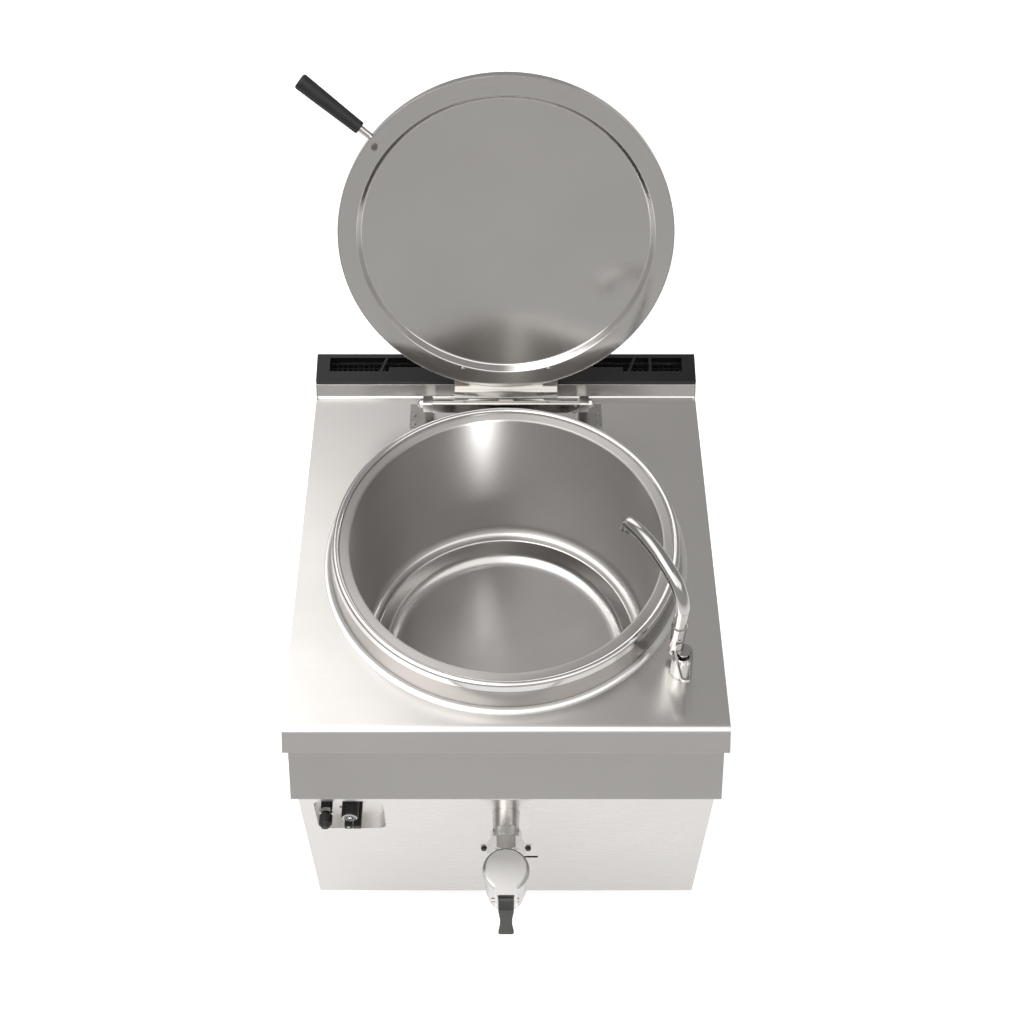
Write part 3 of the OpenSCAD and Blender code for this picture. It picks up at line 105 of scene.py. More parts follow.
# Shader of a metal: colour from two tones, roughness and relief from one grain
def finishMetal(tree, spec, grain, tangent=None):
    spots = addNode(tree, "ShaderNodeTexCoord")
    cloud = addNode(tree, "ShaderNodeTexNoise", None,
                    {"Vector": spots.outputs["Object"], "Scale": spec["cloud"], "Detail": 3.0,
                     "Roughness": 0.5})
    share = addNode(tree, "ShaderNodeMapRange", None,
                    {"Value": cloud.outputs["Fac"], "From Min": surfaceSpec["cloudLow"],
                     "From Max": surfaceSpec["cloudHigh"]})
    colour = addNode(tree, "ShaderNodeMix", {"data_type": "RGBA"},
                     {0: share.outputs["Result"], 6: linearColour(spec["colour"]),
                      7: linearColour(spec["shade"])})
    smear = addNode(tree, "ShaderNodeMath", {"operation": "ADD"},
                    {0: grain, 1: cloud.outputs["Fac"]})
    rough = addNode(tree, "ShaderNodeMapRange", None,
                    {"Value": smear.outputs["Value"], "From Min": 2 * surfaceSpec["cloudLow"],
                     "From Max": 2 * surfaceSpec["cloudHigh"], "To Min": spec["rough"][0],
                     "To Max": spec["rough"][1]})
    edge = addNode(tree, "ShaderNodeBevel", {"samples": 4}, {"Radius": spec["edge"]})
    bump = addNode(tree, "ShaderNodeBump", None,
                   {"Height": grain, "Normal": edge.outputs["Normal"],
                    "Strength": spec["relief"], "Distance": surfaceSpec["metalDepth"]})
    inputs = {"Base Color": colour.outputs[2], "Metallic": 1.0,
              "Roughness": rough.outputs["Result"], "Normal": bump.outputs["Normal"]}
    if tangent:  # a quarter turn, because ground lines spread a highlight across themselves
        inputs["Anisotropic"] = spec["anisotropic"]
        inputs["Anisotropic Rotation"] = 0.25
        inputs["Tangent"] = tangent
    return addNode(tree, "ShaderNodeBsdfPrincipled", None, inputs).outputs["BSDF"]


# Stainless sheet with fine grinding lines along one axis
def brushedSheet(tree, spec):
    place = addNode(tree, "ShaderNodeTexCoord")
    stretch = addNode(tree, "ShaderNodeMapping", None,
                      {"Vector": place.outputs["Object"], "Scale": spec["grain"]})
    grain = addNode(tree, "ShaderNodeTexNoise", None,
                    {"Vector": stretch.outputs["Vector"], "Scale": 1.0, "Detail": 4.0,
                     "Roughness": 0.6})
    along = addNode(tree, "ShaderNodeCombineXYZ", None,
                    {"X": spec["along"][0], "Y": spec["along"][1], "Z": spec["along"][2]})
    return finishMetal(tree, spec, grain.outputs["Fac"], along.outputs["Vector"])


# Stainless turned or spun, with polishing lines that run round the pan's axis
def spunSteel(tree, spec):
    place = addNode(tree, "ShaderNodeTexCoord")
    centred = addNode(tree, "ShaderNodeMapping", None,
                      {"Vector": place.outputs["Object"], "Location": (0.0, -panY, 0.0)})
    axes = addNode(tree, "ShaderNodeSeparateXYZ", None, {"Vector": centred.outputs["Vector"]})
    flat = addNode(tree, "ShaderNodeCombineXYZ", None,
                   {"X": axes.outputs["X"], "Y": axes.outputs["Y"]})
    radius = addNode(tree, "ShaderNodeVectorMath", {"operation": "LENGTH"},
                     {0: flat.outputs["Vector"]})
    rings = addNode(tree, "ShaderNodeCombineXYZ", None,
                    {"X": radius.outputs["Value"], "Z": axes.outputs["Z"]})
    grain = addNode(tree, "ShaderNodeTexNoise", None,
                    {"Vector": rings.outputs["Vector"], "Scale": spec["lines"], "Detail": 4.0,
                     "Roughness": 0.6})
    around = addNode(tree, "ShaderNodeVectorMath", {"operation": "CROSS_PRODUCT"},
                     {0: flat.outputs["Vector"], 1: (0.0, 0.0, 1.0)})
    return finishMetal(tree, spec, grain.outputs["Fac"], around.outputs["Vector"])


# Polished or plated metal with faint waves and smears
def polishedMetal(tree, spec):
    place = addNode(tree, "ShaderNodeTexCoord")
    grain = addNode(tree, "ShaderNodeTexNoise", None,
                    {"Vector": place.outputs["Object"], "Scale": spec["grain"], "Detail": 3.0,
                     "Roughness": 0.5})
    return finishMetal(tree, spec, grain.outputs["Fac"])


# A metal of one finish
def metal(name, finish, spec):
    material, tree = newMaterial(name)
    addNode(tree, "ShaderNodeOutputMaterial", None, {"Surface": finish(tree, spec)})
    return material


# A metal whose finish changes with height: the lowest band first, each band as (finish, values,
# height in metres where the next one starts), and the change spread over "blend"
def bandedMetal(name, bands, blend=0.001):
    material, tree = newMaterial(name)
    place = addNode(tree, "ShaderNodeTexCoord")
    axes = addNode(tree, "ShaderNodeSeparateXYZ", None, {"Vector": place.outputs["Object"]})
    finish, spec, start = bands[0]
    shown = finish(tree, spec)
    for finish, spec, end in bands[1:]:
        shader = finish(tree, spec)
        share = addNode(tree, "ShaderNodeMapRange", None,
                        {"Value": axes.outputs["Z"], "From Min": start - blend,
                         "From Max": start})
        shown = addNode(tree, "ShaderNodeMixShader", None,
                        {0: share.outputs["Result"], 1: shown, 2: shader}).outputs["Shader"]
        start = end
    addNode(tree, "ShaderNodeOutputMaterial", None, {"Surface": shown})
    return material


# Enamel, paint, plastic or felt with its own grain
def coatedSurface(name, spec):
    material, tree = newMaterial(name)
    place = addNode(tree, "ShaderNodeTexCoord")
    grain = addNode(tree, "ShaderNodeTexNoise", None,
                    {"Vector": place.outputs["Object"], "Scale": spec["grain"], "Detail": 4.0,
                     "Roughness": 0.6})
    cloud = addNode(tree, "ShaderNodeTexNoise", None,
                    {"Vector": place.outputs["Object"], "Scale": spec["cloud"], "Detail": 3.0,
                     "Roughness": 0.5})
    colour = addNode(tree, "ShaderNodeMix", {"data_type": "RGBA"},
                     {0: cloud.outputs["Fac"], 6: linearColour(spec["colour"]),
                      7: linearColour(spec["shade"])})
    rough = addNode(tree, "ShaderNodeMapRange", None,
                    {"Value": cloud.outputs["Fac"], "From Min": surfaceSpec["cloudLow"],
                     "From Max": surfaceSpec["cloudHigh"], "To Min": spec["rough"][0],
                     "To Max": spec["rough"][1]})
    edge = addNode(tree, "ShaderNodeBevel", {"samples": 4}, {"Radius": spec["edge"]})
    bump = addNode(tree, "ShaderNodeBump", None,
                   {"Height": grain.outputs["Fac"], "Normal": edge.outputs["Normal"],
                    "Strength": spec["relief"], "Distance": surfaceSpec["coatDepth"]})
    shader = addNode(tree, "ShaderNodeBsdfPrincipled", None,
                     {"Base Color": colour.outputs[2], "Roughness": rough.outputs["Result"],
                      "Normal": bump.outputs["Normal"], "Specular IOR Level": spec["specular"]})
    addNode(tree, "ShaderNodeOutputMaterial", None, {"Surface": shader.outputs["BSDF"]})
    return material


# Heights in metres where one finish gives way to the next
bandStarts = {"panStep": topHeight - 0.35, "panWall": topHeight - 0.305,
              "collarWall": topHeight + 0.009, "collarRim": topHeight + 0.052,
              "bearingBlock": topHeight + 0.0045}

# Finishes that more than one material uses
turnedSteel = {"colour": "#cfcdca", "shade": "#c2c0bd", "cloud": 30.0, "grain": 500.0,
               "rough": (0.16, 0.26), "relief": 0.06, "edge": 0.0006}
# A dull dark grey plate tone, which on the hinge bearings' base plates is painted shade under
# their blocks
pickledPlate = {"colour": "#86837f", "shade": "#7a7774", "cloud": 30.0, "grain": 400.0,
                "rough": (0.3, 0.4), "relief": 0.06, "edge": 0.0006}
blackThermoset = {"colour": "#1a1a1a", "shade": "#212121", "cloud": 40.0, "grain": 1500.0,
                  "specular": 0.35, "rough": (0.4, 0.52), "relief": 0.12, "edge": 0.0008}

materials = {
    # Stainless sheet ground across with 320 grit: its lines are finer than a pixel, so they are
    # drawn 1.5 mm apart and faint
    "topSteel": metal("worktopSteelGroundAcross", brushedSheet, {
        "colour": "#dcdad8", "shade": "#d6d4d2", "cloud": 4.0, "grain": (4.0, 650.0, 650.0),
        "along": (1, 0, 0), "anisotropic": 0.3, "rough": (0.21, 0.25), "relief": 0.02,
        "edge": 0.0012}),
    # The same sheet on the cabinet's panels, a little duller
    "panelSteel": metal("panelSteelGroundAcross", brushedSheet, {
        "colour": "#dedcda", "shade": "#dbd9d7", "cloud": 4.0, "grain": (4.0, 650.0, 650.0),
        "along": (1, 0, 0), "anisotropic": 0.3, "rough": (0.27, 0.28), "relief": 0.003,
        "edge": 0.0008}),
    # The pan from the floor up: a satin floor, a polished step, and a wall with polishing lines
    # round the axis, so its highlights spread into upright streaks. Its tones, darker than the
    # worktop's stainless and darkest on the floor, are painted shade of the deep well
    "panSteel": bandedMetal("panSteelSpunWithPaintedWellShade", [
        (polishedMetal, {"colour": "#adabaa", "shade": "#a7a5a4", "cloud": 6.0, "grain": 80.0,
                         "rough": (0.38, 0.42), "relief": 0.02, "edge": 0.0008},
         bandStarts["panStep"]),
        (polishedMetal, {"colour": "#c6c4c2", "shade": "#bebcba", "cloud": 6.0, "grain": 80.0,
                         "rough": (0.2, 0.24), "relief": 0.02, "edge": 0.0008},
         bandStarts["panWall"]),
        (spunSteel, {"colour": "#bab8b6", "shade": "#b4b2b0", "cloud": 5.0, "lines": 500.0,
                     "anisotropic": 0.9, "rough": (0.36, 0.4), "relief": 0.02,
                     "edge": 0.0008}, None)]),
    # The collar, spun stainless with a polished rim: the pale foot is a painted highlight on the
    # fillet at the worktop, and the greyer wall is painted shade standing in for darker
    # reflections
    "collarSteel": bandedMetal("collarSteelWithPaintedHighlightAndShade", [
        (spunSteel, {"colour": "#f2f1ef", "shade": "#ecebe9", "cloud": 5.0, "lines": 500.0,
                     "anisotropic": 0.3, "rough": (0.3, 0.34), "relief": 0.02,
                     "edge": 0.0008}, bandStarts["collarWall"]),
        (spunSteel, {"colour": "#a5a2a0", "shade": "#9f9c9a", "cloud": 5.0, "lines": 500.0,
                     "anisotropic": 0.3, "rough": (0.2, 0.24), "relief": 0.02,
                     "edge": 0.0008}, bandStarts["collarRim"]),
        (spunSteel, {"colour": "#dad8d7", "shade": "#d3d1d0", "cloud": 5.0, "lines": 500.0,
                     "anisotropic": 0.3, "rough": (0.1, 0.15), "relief": 0.03,
                     "edge": 0.0008}, None)]),
    # Folded stainless sheet of the recess, unpolished, so it spreads the light; its near-white
    # tone is painted light that lifts the shade inside the recess
    "recessSteel": metal("recessSteelPaintedBright", polishedMetal, {
        "colour": "#f0eeec", "shade": "#ebe9e7", "cloud": 8.0, "grain": 300.0,
        "rough": (0.5, 0.58), "relief": 0.03, "edge": 0.0008}),
    # Pressed stainless of the lid, nearly mirror polished
    "lidSteel": metal("lidSteelPressedAndPolished", polishedMetal, {
        "colour": "#d8d6d3", "shade": "#d2d0cd", "cloud": 3.0, "grain": 60.0,
        "rough": (0.1, 0.15), "relief": 0.02, "edge": 0.0008}),
    # The lid's inner face, polished finer than the skin
    "linerSteel": metal("linerSteelMirrorPolished", polishedMetal, {
        "colour": "#dad8d5", "shade": "#d4d2cf", "cloud": 3.0, "grain": 60.0,
        "rough": (0.1, 0.13), "relief": 0.01, "edge": 0.0006}),
    # Bright chrome plate on turned and cast brass
    "chrome": metal("chromePlateOnBrass", polishedMetal, {
        "colour": "#e0dfde", "shade": "#d8d7d6", "cloud": 20.0, "grain": 120.0,
        "rough": (0.05, 0.1), "relief": 0.04, "edge": 0.0007}),
    # Satin chrome plate on the valve's cap, which spreads its highlight over the whole disc; its
    # near-white tone, brighter than the other chrome, is a painted highlight
    "capChrome": metal("satinChromeWithPaintedHighlight", polishedMetal, {
        "colour": "#fbfaf9", "shade": "#f6f5f4", "cloud": 20.0, "grain": 120.0,
        "rough": (0.3, 0.34), "relief": 0.02, "edge": 0.0007}),
    # Chrome plate of the tap, a tone darker: painted shade standing in for darker reflections
    "tapChrome": metal("tapChromeWithPaintedShade", polishedMetal, {
        "colour": "#c6c4c2", "shade": "#bcbab8", "cloud": 20.0, "grain": 120.0,
        "rough": (0.05, 0.1), "relief": 0.04, "edge": 0.0007}),
    # Turned and milled stainless bar and plate, fairly bright
    "machinedSteel": metal("stainlessTurnedAndMilled", polishedMetal, turnedSteel),
    # Hinge bearings: a brighter milled block on a base plate whose dull dark grey is painted shade
    # under the block
    "bearingSteel": bandedMetal("bearingSteelOverPaintedShade", [
        (polishedMetal, pickledPlate, bandStarts["bearingBlock"]),
        (polishedMetal, turnedSteel, None)]),
    # Rolled and pickled stainless plate, dull and grey
    "plateSteel": metal("stainlessPlatePickled", polishedMetal, pickledPlate),
    # Zinc plated spring and screw steel, a little dull
    "platedSteel": metal("zincPlatedSteel", polishedMetal, {
        "colour": "#b4b3af", "shade": "#9f9e9a", "cloud": 60.0, "grain": 400.0,
        "rough": (0.25, 0.4), "relief": 0.08, "edge": 0.0004}),
    # Aluminium-dipped steel sheet, matt and cloudy grey
    "aluminisedSteel": metal("aluminiumDippedSteel", polishedMetal, {
        "colour": "#8f8f8c", "shade": "#70706c", "cloud": 25.0, "grain": 90.0,
        "rough": (0.4, 0.55), "relief": 0.2, "edge": 0.0005}),
    # Brass of the gas fittings, drawn and tarnished, so its yellow is dull
    "brass": metal("brassDrawnAndTarnished", polishedMetal, {
        "colour": "#b79552", "shade": "#94713a", "cloud": 20.0, "grain": 200.0,
        "rough": (0.25, 0.4), "relief": 0.08, "edge": 0.0005}),
    # Fired black enamel with a slight orange peel
    "enamel": coatedSurface("blackEnamelFired", {
        "colour": "#0c0c0d", "shade": "#131314", "cloud": 12.0, "grain": 260.0,
        "specular": 0.35, "rough": (0.3, 0.42), "relief": 0.1, "edge": 0.0008}),
    # Moulded black thermoset with a fine matt grain
    "blackPlastic": coatedSurface("blackThermosetMoulded", blackThermoset),
    # The drain handle's thermoset, moulded with the same grain and dark grey
    "handlePlastic": coatedSurface("greyThermosetMoulded", {
        **blackThermoset, "colour": "#414141", "shade": "#393938"}),
    # Mineral wool felt, rough and without a highlight
    "wool": coatedSurface("mineralWoolFelt", {
        "colour": "#b5a97c", "shade": "#978a5f", "cloud": 30.0, "grain": 500.0,
        "specular": 0.1, "rough": (0.9, 1.0), "relief": 1.0, "edge": 0.002}),
    # White and red pad-printed marks, satin
    "whitePrint": coatedSurface("whitePadPrint", {
        "colour": "#dcdcda", "shade": "#d0d0ce", "cloud": 80.0, "grain": 900.0,
        "specular": 0.4, "rough": (0.45, 0.55), "relief": 0.05, "edge": 0.0002}),
    "redPrint": coatedSurface("redPadPrint", {
        "colour": "#7d4a45", "shade": "#6d3f3b", "cloud": 80.0, "grain": 900.0,
        "specular": 0.4, "rough": (0.45, 0.55), "relief": 0.05, "edge": 0.0002}),
}
print("materials made:", len(materials))


# A CAD node dressed in one material
def dress(nodeName, material):
    slots = nodes[nodeName].data.materials
    slots.clear()
    slots.append(material)


dressing = {
    "topSteel": ["worktop", "control_panel"],
    "panelSteel": ["front_panel", "side_panel_left", "side_panel_right", "back_panel",
                   "drain_plate"],
    "recessSteel": ["control_recess"],
    "panSteel": ["pan_shell"],
    "collarSteel": ["pan_collar"],
    "lidSteel": ["lid_skin_outer", "lid_bracket", "hinge_cover"],
    "linerSteel": ["lid_liner"],
    "tapChrome": ["tap_body", "tap_lever", "tap_spout", "tap_spout_nut", "tap_back_nut"],
    "chrome": ["drain_ring", "drain_union_nut", "valve_body"],
    "capChrome": ["valve_plug"],
    "bearingSteel": ["hinge_bearing_left", "hinge_bearing_right"],
    "machinedSteel": ["lid_handle_rod", "lid_bracket_bolts", "hinge_rod", "hinge_nuts",
                      "valve_pin", "legs", "foot_front_left", "foot_front_right",
                      "foot_rear_left", "foot_rear_right", "drain_pipe", "water_pipe"],
    "plateSteel": ["lid_handle_nut"],
    "platedSteel": ["hinge_springs", "hinge_screws"],
    "aluminisedSteel": ["base_frame", "flue_box", "burner", "pilot_burner",
                        "combustion_casing"],
    "brass": ["gas_manifold", "gas_pipe", "gas_valve"],
    "enamel": ["flue_cover", "flue_mesh"],
    "handlePlastic": ["drain_handle"],
    "blackPlastic": ["lid_grip", "drain_plate_bolts", "gas_knob", "pilot_button", "off_button",
                     "igniter_button"],
    "wool": ["insulation"],
}
for key, names in dressing.items():
    for name in names:
        dress(name, materials[key])

# Igniter body: the black thermoset with a bright chrome ring at its front
igniterSpec = {"ringBack": knobPos.y + 0.001, "blend": 0.0002, "edge": 0.0006,
               "ringColour": "#e4e3e2", "ringRough": 0.12}
igniterShell = coatedSurface("igniterBlackWithChromeRing",
                             {**blackThermoset, "edge": igniterSpec["edge"]})
igniterTree = igniterShell.node_tree
igniterPlace = addNode(igniterTree, "ShaderNodeTexCoord")
igniterAxes = addNode(igniterTree, "ShaderNodeSeparateXYZ", None,
                      {"Vector": igniterPlace.outputs["Object"]})
ringShare = addNode(igniterTree, "ShaderNodeMapRange", None,
                    {"Value": igniterAxes.outputs["Y"], "From Min": igniterSpec["ringBack"],
                     "From Max": igniterSpec["ringBack"] - igniterSpec["blend"]})
ringShader = addNode(igniterTree, "ShaderNodeBsdfPrincipled", None,
                     {"Base Color": linearColour(igniterSpec["ringColour"]), "Metallic": 1.0,
                      "Roughness": igniterSpec["ringRough"]})
output = next(node for node in igniterTree.nodes if node.type == "OUTPUT_MATERIAL")
ringMix = addNode(igniterTree, "ShaderNodeMixShader", None,
                  {0: ringShare.outputs["Result"],
                   1: output.inputs["Surface"].links[0].from_socket,
                   2: ringShader.outputs["BSDF"]})
igniterTree.links.new(ringMix.outputs["Shader"], output.inputs["Surface"])
dress("igniter_body", igniterShell)

# Knob dial: an aluminium disc printed with a black band and white ticks, radii in metres
dialSpec = {"hub": 0.0042, "band": 0.0122, "tickIn": 0.0075, "tickOut": 0.0106, "ticks": 12,
            "tickShare": 0.13, "bandColour": "#151515", "tickColour": "#e6e6e4",
            "printRough": 0.45, "metalColour": "#e2e2e0", "metalRough": 0.22}
dialMaterial, dialTree = newMaterial("dialAluminiumPrinted")
dialPlace = addNode(dialTree, "ShaderNodeTexCoord")
dialCentred = addNode(dialTree, "ShaderNodeVectorMath", {"operation": "SUBTRACT"},
                      {0: dialPlace.outputs["Object"], 1: tuple(knobPos)})
dialAxes = addNode(dialTree, "ShaderNodeSeparateXYZ", None,
                   {"Vector": dialCentred.outputs["Vector"]})
dialFlat = addNode(dialTree, "ShaderNodeCombineXYZ", None,
                   {"X": dialAxes.outputs["X"], "Z": dialAxes.outputs["Z"]})
dialReach = addNode(dialTree, "ShaderNodeVectorMath", {"operation": "LENGTH"},
                    {0: dialFlat.outputs["Vector"]})
dialTurn = addNode(dialTree, "ShaderNodeMath", {"operation": "ARCTAN2"},
                   {0: dialAxes.outputs["Z"], 1: dialAxes.outputs["X"]})
dialSteps = addNode(dialTree, "ShaderNodeMath", {"operation": "MULTIPLY"},
                    {0: dialTurn.outputs["Value"], 1: dialSpec["ticks"] / math.tau})
dialFraction = addNode(dialTree, "ShaderNodeMath", {"operation": "FRACT"},
                       {0: dialSteps.outputs["Value"]})
isTick = addNode(dialTree, "ShaderNodeMath", {"operation": "COMPARE"},
                 {0: dialFraction.outputs["Value"], 1: 0.5, 2: dialSpec["tickShare"]})
tickRing = addNode(dialTree, "ShaderNodeMath", {"operation": "COMPARE"},
                   {0: dialReach.outputs["Value"],
                    1: (dialSpec["tickIn"] + dialSpec["tickOut"]) / 2,
                    2: (dialSpec["tickOut"] - dialSpec["tickIn"]) / 2})
tick = addNode(dialTree, "ShaderNodeMath", {"operation": "MULTIPLY"},
               {0: isTick.outputs["Value"], 1: tickRing.outputs["Value"]})
band = addNode(dialTree, "ShaderNodeMath", {"operation": "COMPARE"},
               {0: dialReach.outputs["Value"], 1: (dialSpec["hub"] + dialSpec["band"]) / 2,
                2: (dialSpec["band"] - dialSpec["hub"]) / 2})
bandColour = addNode(dialTree, "ShaderNodeMix", {"data_type": "RGBA"},
                     {0: tick.outputs["Value"], 6: linearColour(dialSpec["bandColour"]),
                      7: linearColour(dialSpec["tickColour"])})
dialPrint = addNode(dialTree, "ShaderNodeBsdfPrincipled", None,
                    {"Base Color": bandColour.outputs[2], "Roughness": dialSpec["printRough"]})
dialMetal = addNode(dialTree, "ShaderNodeBsdfPrincipled", None,
                    {"Base Color": linearColour(dialSpec["metalColour"]), "Metallic": 1.0,
                     "Roughness": dialSpec["metalRough"]})
dialMix = addNode(dialTree, "ShaderNodeMixShader", None,
                  {0: band.outputs["Value"], 1: dialMetal.outputs["BSDF"],
                   2: dialPrint.outputs["BSDF"]})
addNode(dialTree, "ShaderNodeOutputMaterial", None, {"Surface": dialMix.outputs["Shader"]})
dress("gas_knob_dial", dialMaterial)
print("dial and igniter dressed")


# A mesh made of a bmesh, as an object in the scene
def addObject(name, shape):
    mesh = bpy.data.meshes.new(name)
    shape.to_mesh(mesh)
    shape.free()
    made = bpy.data.objects.new(name, mesh)
    bpy.context.scene.collection.objects.link(made)
    return made


# A finished piece from a bmesh, with its material and the body it rides on
def addPiece(name, shape, materialKey, body):
    bmesh.ops.remove_doubles(shape, verts=shape.verts, dist=1e-6)
    bmesh.ops.recalc_face_normals(shape, faces=shape.faces)
    piece = addObject(name, shape)
    piece.data.materials.append(materials[materialKey])
    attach(piece, body)
    return piece


# A flat round disc of some height, standing on the origin, and the points of its upper rim
def raisedDisc(radius, height, segments):
    shape = bmesh.new()
    bmesh.ops.create_circle(shape, cap_ends=True, radius=radius, segments=segments)
    raised = bmesh.ops.extrude_face_region(shape, geom=shape.faces[:])
    rimVerts = [item for item in raised["geom"] if isinstance(item, bmesh.types.BMVert)]
    bmesh.ops.translate(shape, verts=rimVerts, vec=(0, 0, height))
    return shape, rimVerts


# A low round head with a slot across it, standing on the origin and facing +Z. The bevel and the
# slot's depth are shares of its height.
def slottedHead(spec, bevelShare=0.55, slotShare=0.5):
    shape, rimVerts = raisedDisc(spec["radius"], spec["height"], 24)
    rimEdges = [edge for edge in shape.edges if all(vert in rimVerts for vert in edge.verts)]
    bmesh.ops.bevel(shape, geom=rimEdges, offset=spec["height"] * bevelShare, segments=3,
                    profile=0.5, affect="EDGES", material=-1)
    for side in (-1, 1):
        bmesh.ops.bisect_plane(shape, geom=shape.verts[:] + shape.edges[:] + shape.faces[:],
                               plane_co=(0, side * spec["slot"] / 2, 0), plane_no=(0, 1, 0))
    inSlot = [face for face in shape.faces
              if abs(face.calc_center_median().y) < spec["slot"] / 2
              and face.calc_center_median().z > spec["height"] * 0.4]  # only its upper side
    sunk = bmesh.ops.extrude_face_region(shape, geom=inSlot)
    bmesh.ops.delete(shape, geom=inSlot, context="FACES_ONLY")
    slotVerts = [item for item in sunk["geom"] if isinstance(item, bmesh.types.BMVert)]
    bmesh.ops.translate(shape, verts=slotVerts, vec=(0, 0, -spec["height"] * slotShare))
    return shape


# Points of an arc, angles in degrees
def arcPoints(centre, radius, start, end, count):
    angles = [math.radians(start + (end - start) * i / count) for i in range(count + 1)]
    return [(centre[0] + radius * math.cos(a), centre[1] + radius * math.sin(a))
            for a in angles]


# A round bar that cuts one hole, in millimetres from the pan's axis at the worktop's height
def holeCutter(name, hole):
    start, end = Vector(hole["from"]) / 1000, Vector(hole["to"]) / 1000
    shape = bmesh.new()
    bmesh.ops.create_cone(shape, cap_ends=True, segments=48, radius1=hole["radius"] / 1000,
                          radius2=hole["radius"] / 1000, depth=(end - start).length)
    turned = (end - start).to_track_quat("Z", "Y").to_matrix().to_4x4()
    centred = Matrix.Translation((start + end) / 2 + Vector((0, panY, topHeight)))
    bmesh.ops.transform(shape, matrix=centred @ turned, verts=shape.verts)
    return addObject(name, shape)


# A sheet spun from a profile of radius and height above the worktop in millimetres, with round
# holes cut through it, in place of one CAD node. "facing" is 1 where its shown side faces up in
# the middle and -1 where it faces down.
def spunSheet(name, spec, profile, placed, body):
    shape = bmesh.new()
    verts = [shape.verts.new((radius / 1000, panY, topHeight + height / 1000))
             for radius, height in profile]
    edges = [shape.edges.new(pair) for pair in zip(verts, verts[1:])]
    bmesh.ops.spin(shape, geom=verts + edges, cent=(0, panY, 0), axis=(0, 0, 1),
                   angle=math.tau, steps=spec["steps"], use_merge=True, use_duplicate=False)
    bmesh.ops.remove_doubles(shape, verts=shape.verts, dist=1e-5)
    bmesh.ops.recalc_face_normals(shape, faces=shape.faces)
    shape.faces.ensure_lookup_table()
    middle = min(shape.faces,
                 key=lambda face: (face.calc_center_median().xy - Vector((0, panY))).length)
    if middle.normal.z * spec["facing"] < 0:
        bmesh.ops.reverse_faces(shape, faces=shape.faces)
    piece = addObject(name, shape)
    thicken = piece.modifiers.new("sheet", "SOLIDIFY")
    thicken.thickness = spec["sheet"]
    thicken.offset = -1
    cutters = [holeCutter(name + "Cutter", hole) for hole in spec["holes"]]
    for cutter in cutters:
        cut = piece.modifiers.new("hole", "BOOLEAN")
        cut.operation = "DIFFERENCE"
        cut.object = cutter
    bpy.context.view_layer.update()
    depsgraph = bpy.context.evaluated_depsgraph_get()
    done = bpy.data.meshes.new_from_object(piece.evaluated_get(depsgraph))
    piece.modifiers.clear()
    piece.data = done
    for cutter in cutters:
        bpy.data.objects.remove(cutter)
    done.transform(placed)
    done.materials.clear()
    done.materials.append(materials[spec["material"]])
    done.polygons.foreach_set("use_smooth", [True] * len(done.polygons))
    done.set_sharp_from_angle(angle=math.radians(spec["sharp"]))
    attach(piece, body)
    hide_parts(spec["node"])
    print(name, "spun:", len(done.polygons), "faces")
    return piece


# The pan: flange, wall, knuckle, ledge, steep step and a wide round into the flat floor. An arc is
# (radius of its centre, height of its centre, its own radius), "edge" is (radius, slope in
# degrees), and the rings are where rows of faces end on the wall and on the floor.
panSpec = {"node": "pan_shell", "material": "panSteel", "sheet": 0.002, "steps": 144,
           "facing": 1, "sharp": 40, "flange": (316.7, 62), "bend": (302, 58, 4), "wall": 298,
           "wallRings": range(0, -280, -40), "knuckle": (276, -288, 22), "edge": (5, 60),
           "round": (227, -316, 36), "floor": -352, "floorRings": (150, 70, 0),
           "holes": [{"from": (0, -318, -328), "to": (0, -239, -328), "radius": 24}]}
edgeRadius, slopeDegrees = panSpec["edge"]
panSlope = math.radians(slopeDegrees)
ledgeHeight = panSpec["knuckle"][1] - panSpec["knuckle"][2]
roundTop = arcPoints(panSpec["round"][:2], panSpec["round"][2], -90 + slopeDegrees, -90,
                     count=14)
stepRise = ledgeHeight - edgeRadius * (1 - math.cos(panSlope)) - roundTop[0][1]
edgeStart = roundTop[0][0] + stepRise / math.tan(panSlope) + edgeRadius * math.sin(panSlope)
panProfile = ([panSpec["flange"]]
              + arcPoints(panSpec["bend"][:2], panSpec["bend"][2], 90, 180, count=6)
              + [(panSpec["wall"], height) for height in panSpec["wallRings"]]
              + arcPoints(panSpec["knuckle"][:2], panSpec["knuckle"][2], 0, -90, count=12)
              + arcPoints((edgeStart, ledgeHeight - edgeRadius), edgeRadius, 90,
                          90 + slopeDegrees, count=6)
              + roundTop
              + [(radius, panSpec["floor"]) for radius in panSpec["floorRings"]])
spunSheet("panLining", panSpec, panProfile, Matrix.Identity(4), "cabinet")

# The lid's liner: flat ring, a narrow steep step and the raised disc, drawn closed and swung
# open. "low" is the ring's height, "outer" is (radius, round) of the step's outer edge, "inner"
# is the round of its inner edge and "recess" is the step's height.
linerSpec = {"node": "lid_liner", "material": "linerSteel", "sheet": 0.0012, "steps": 180,
             "facing": -1, "sharp": 40, "edge": 323.3, "low": 70.3, "outer": (290, 3),
             "inner": 5, "slope": 60, "recess": 15, "discRings": (180, 80, 0),
             "holes": [{"from": (-87, 281, 60), "to": (-87, 281, 80), "radius": 3.2},
                       {"from": (87, 281, 60), "to": (87, 281, 80), "radius": 3.2}]}
outerEdge, outerRound = linerSpec["outer"]
linerSlope = math.radians(linerSpec["slope"])
outerArc = arcPoints((outerEdge, linerSpec["low"] + outerRound), outerRound, -90,
                     -90 - linerSpec["slope"], count=6)
discHeight = linerSpec["low"] + linerSpec["recess"]
innerTop = discHeight - linerSpec["inner"] * (1 - math.cos(linerSlope))
discEdge = (outerArc[-1][0] - (innerTop - outerArc[-1][1]) / math.tan(linerSlope)
            - linerSpec["inner"] * math.sin(linerSlope))
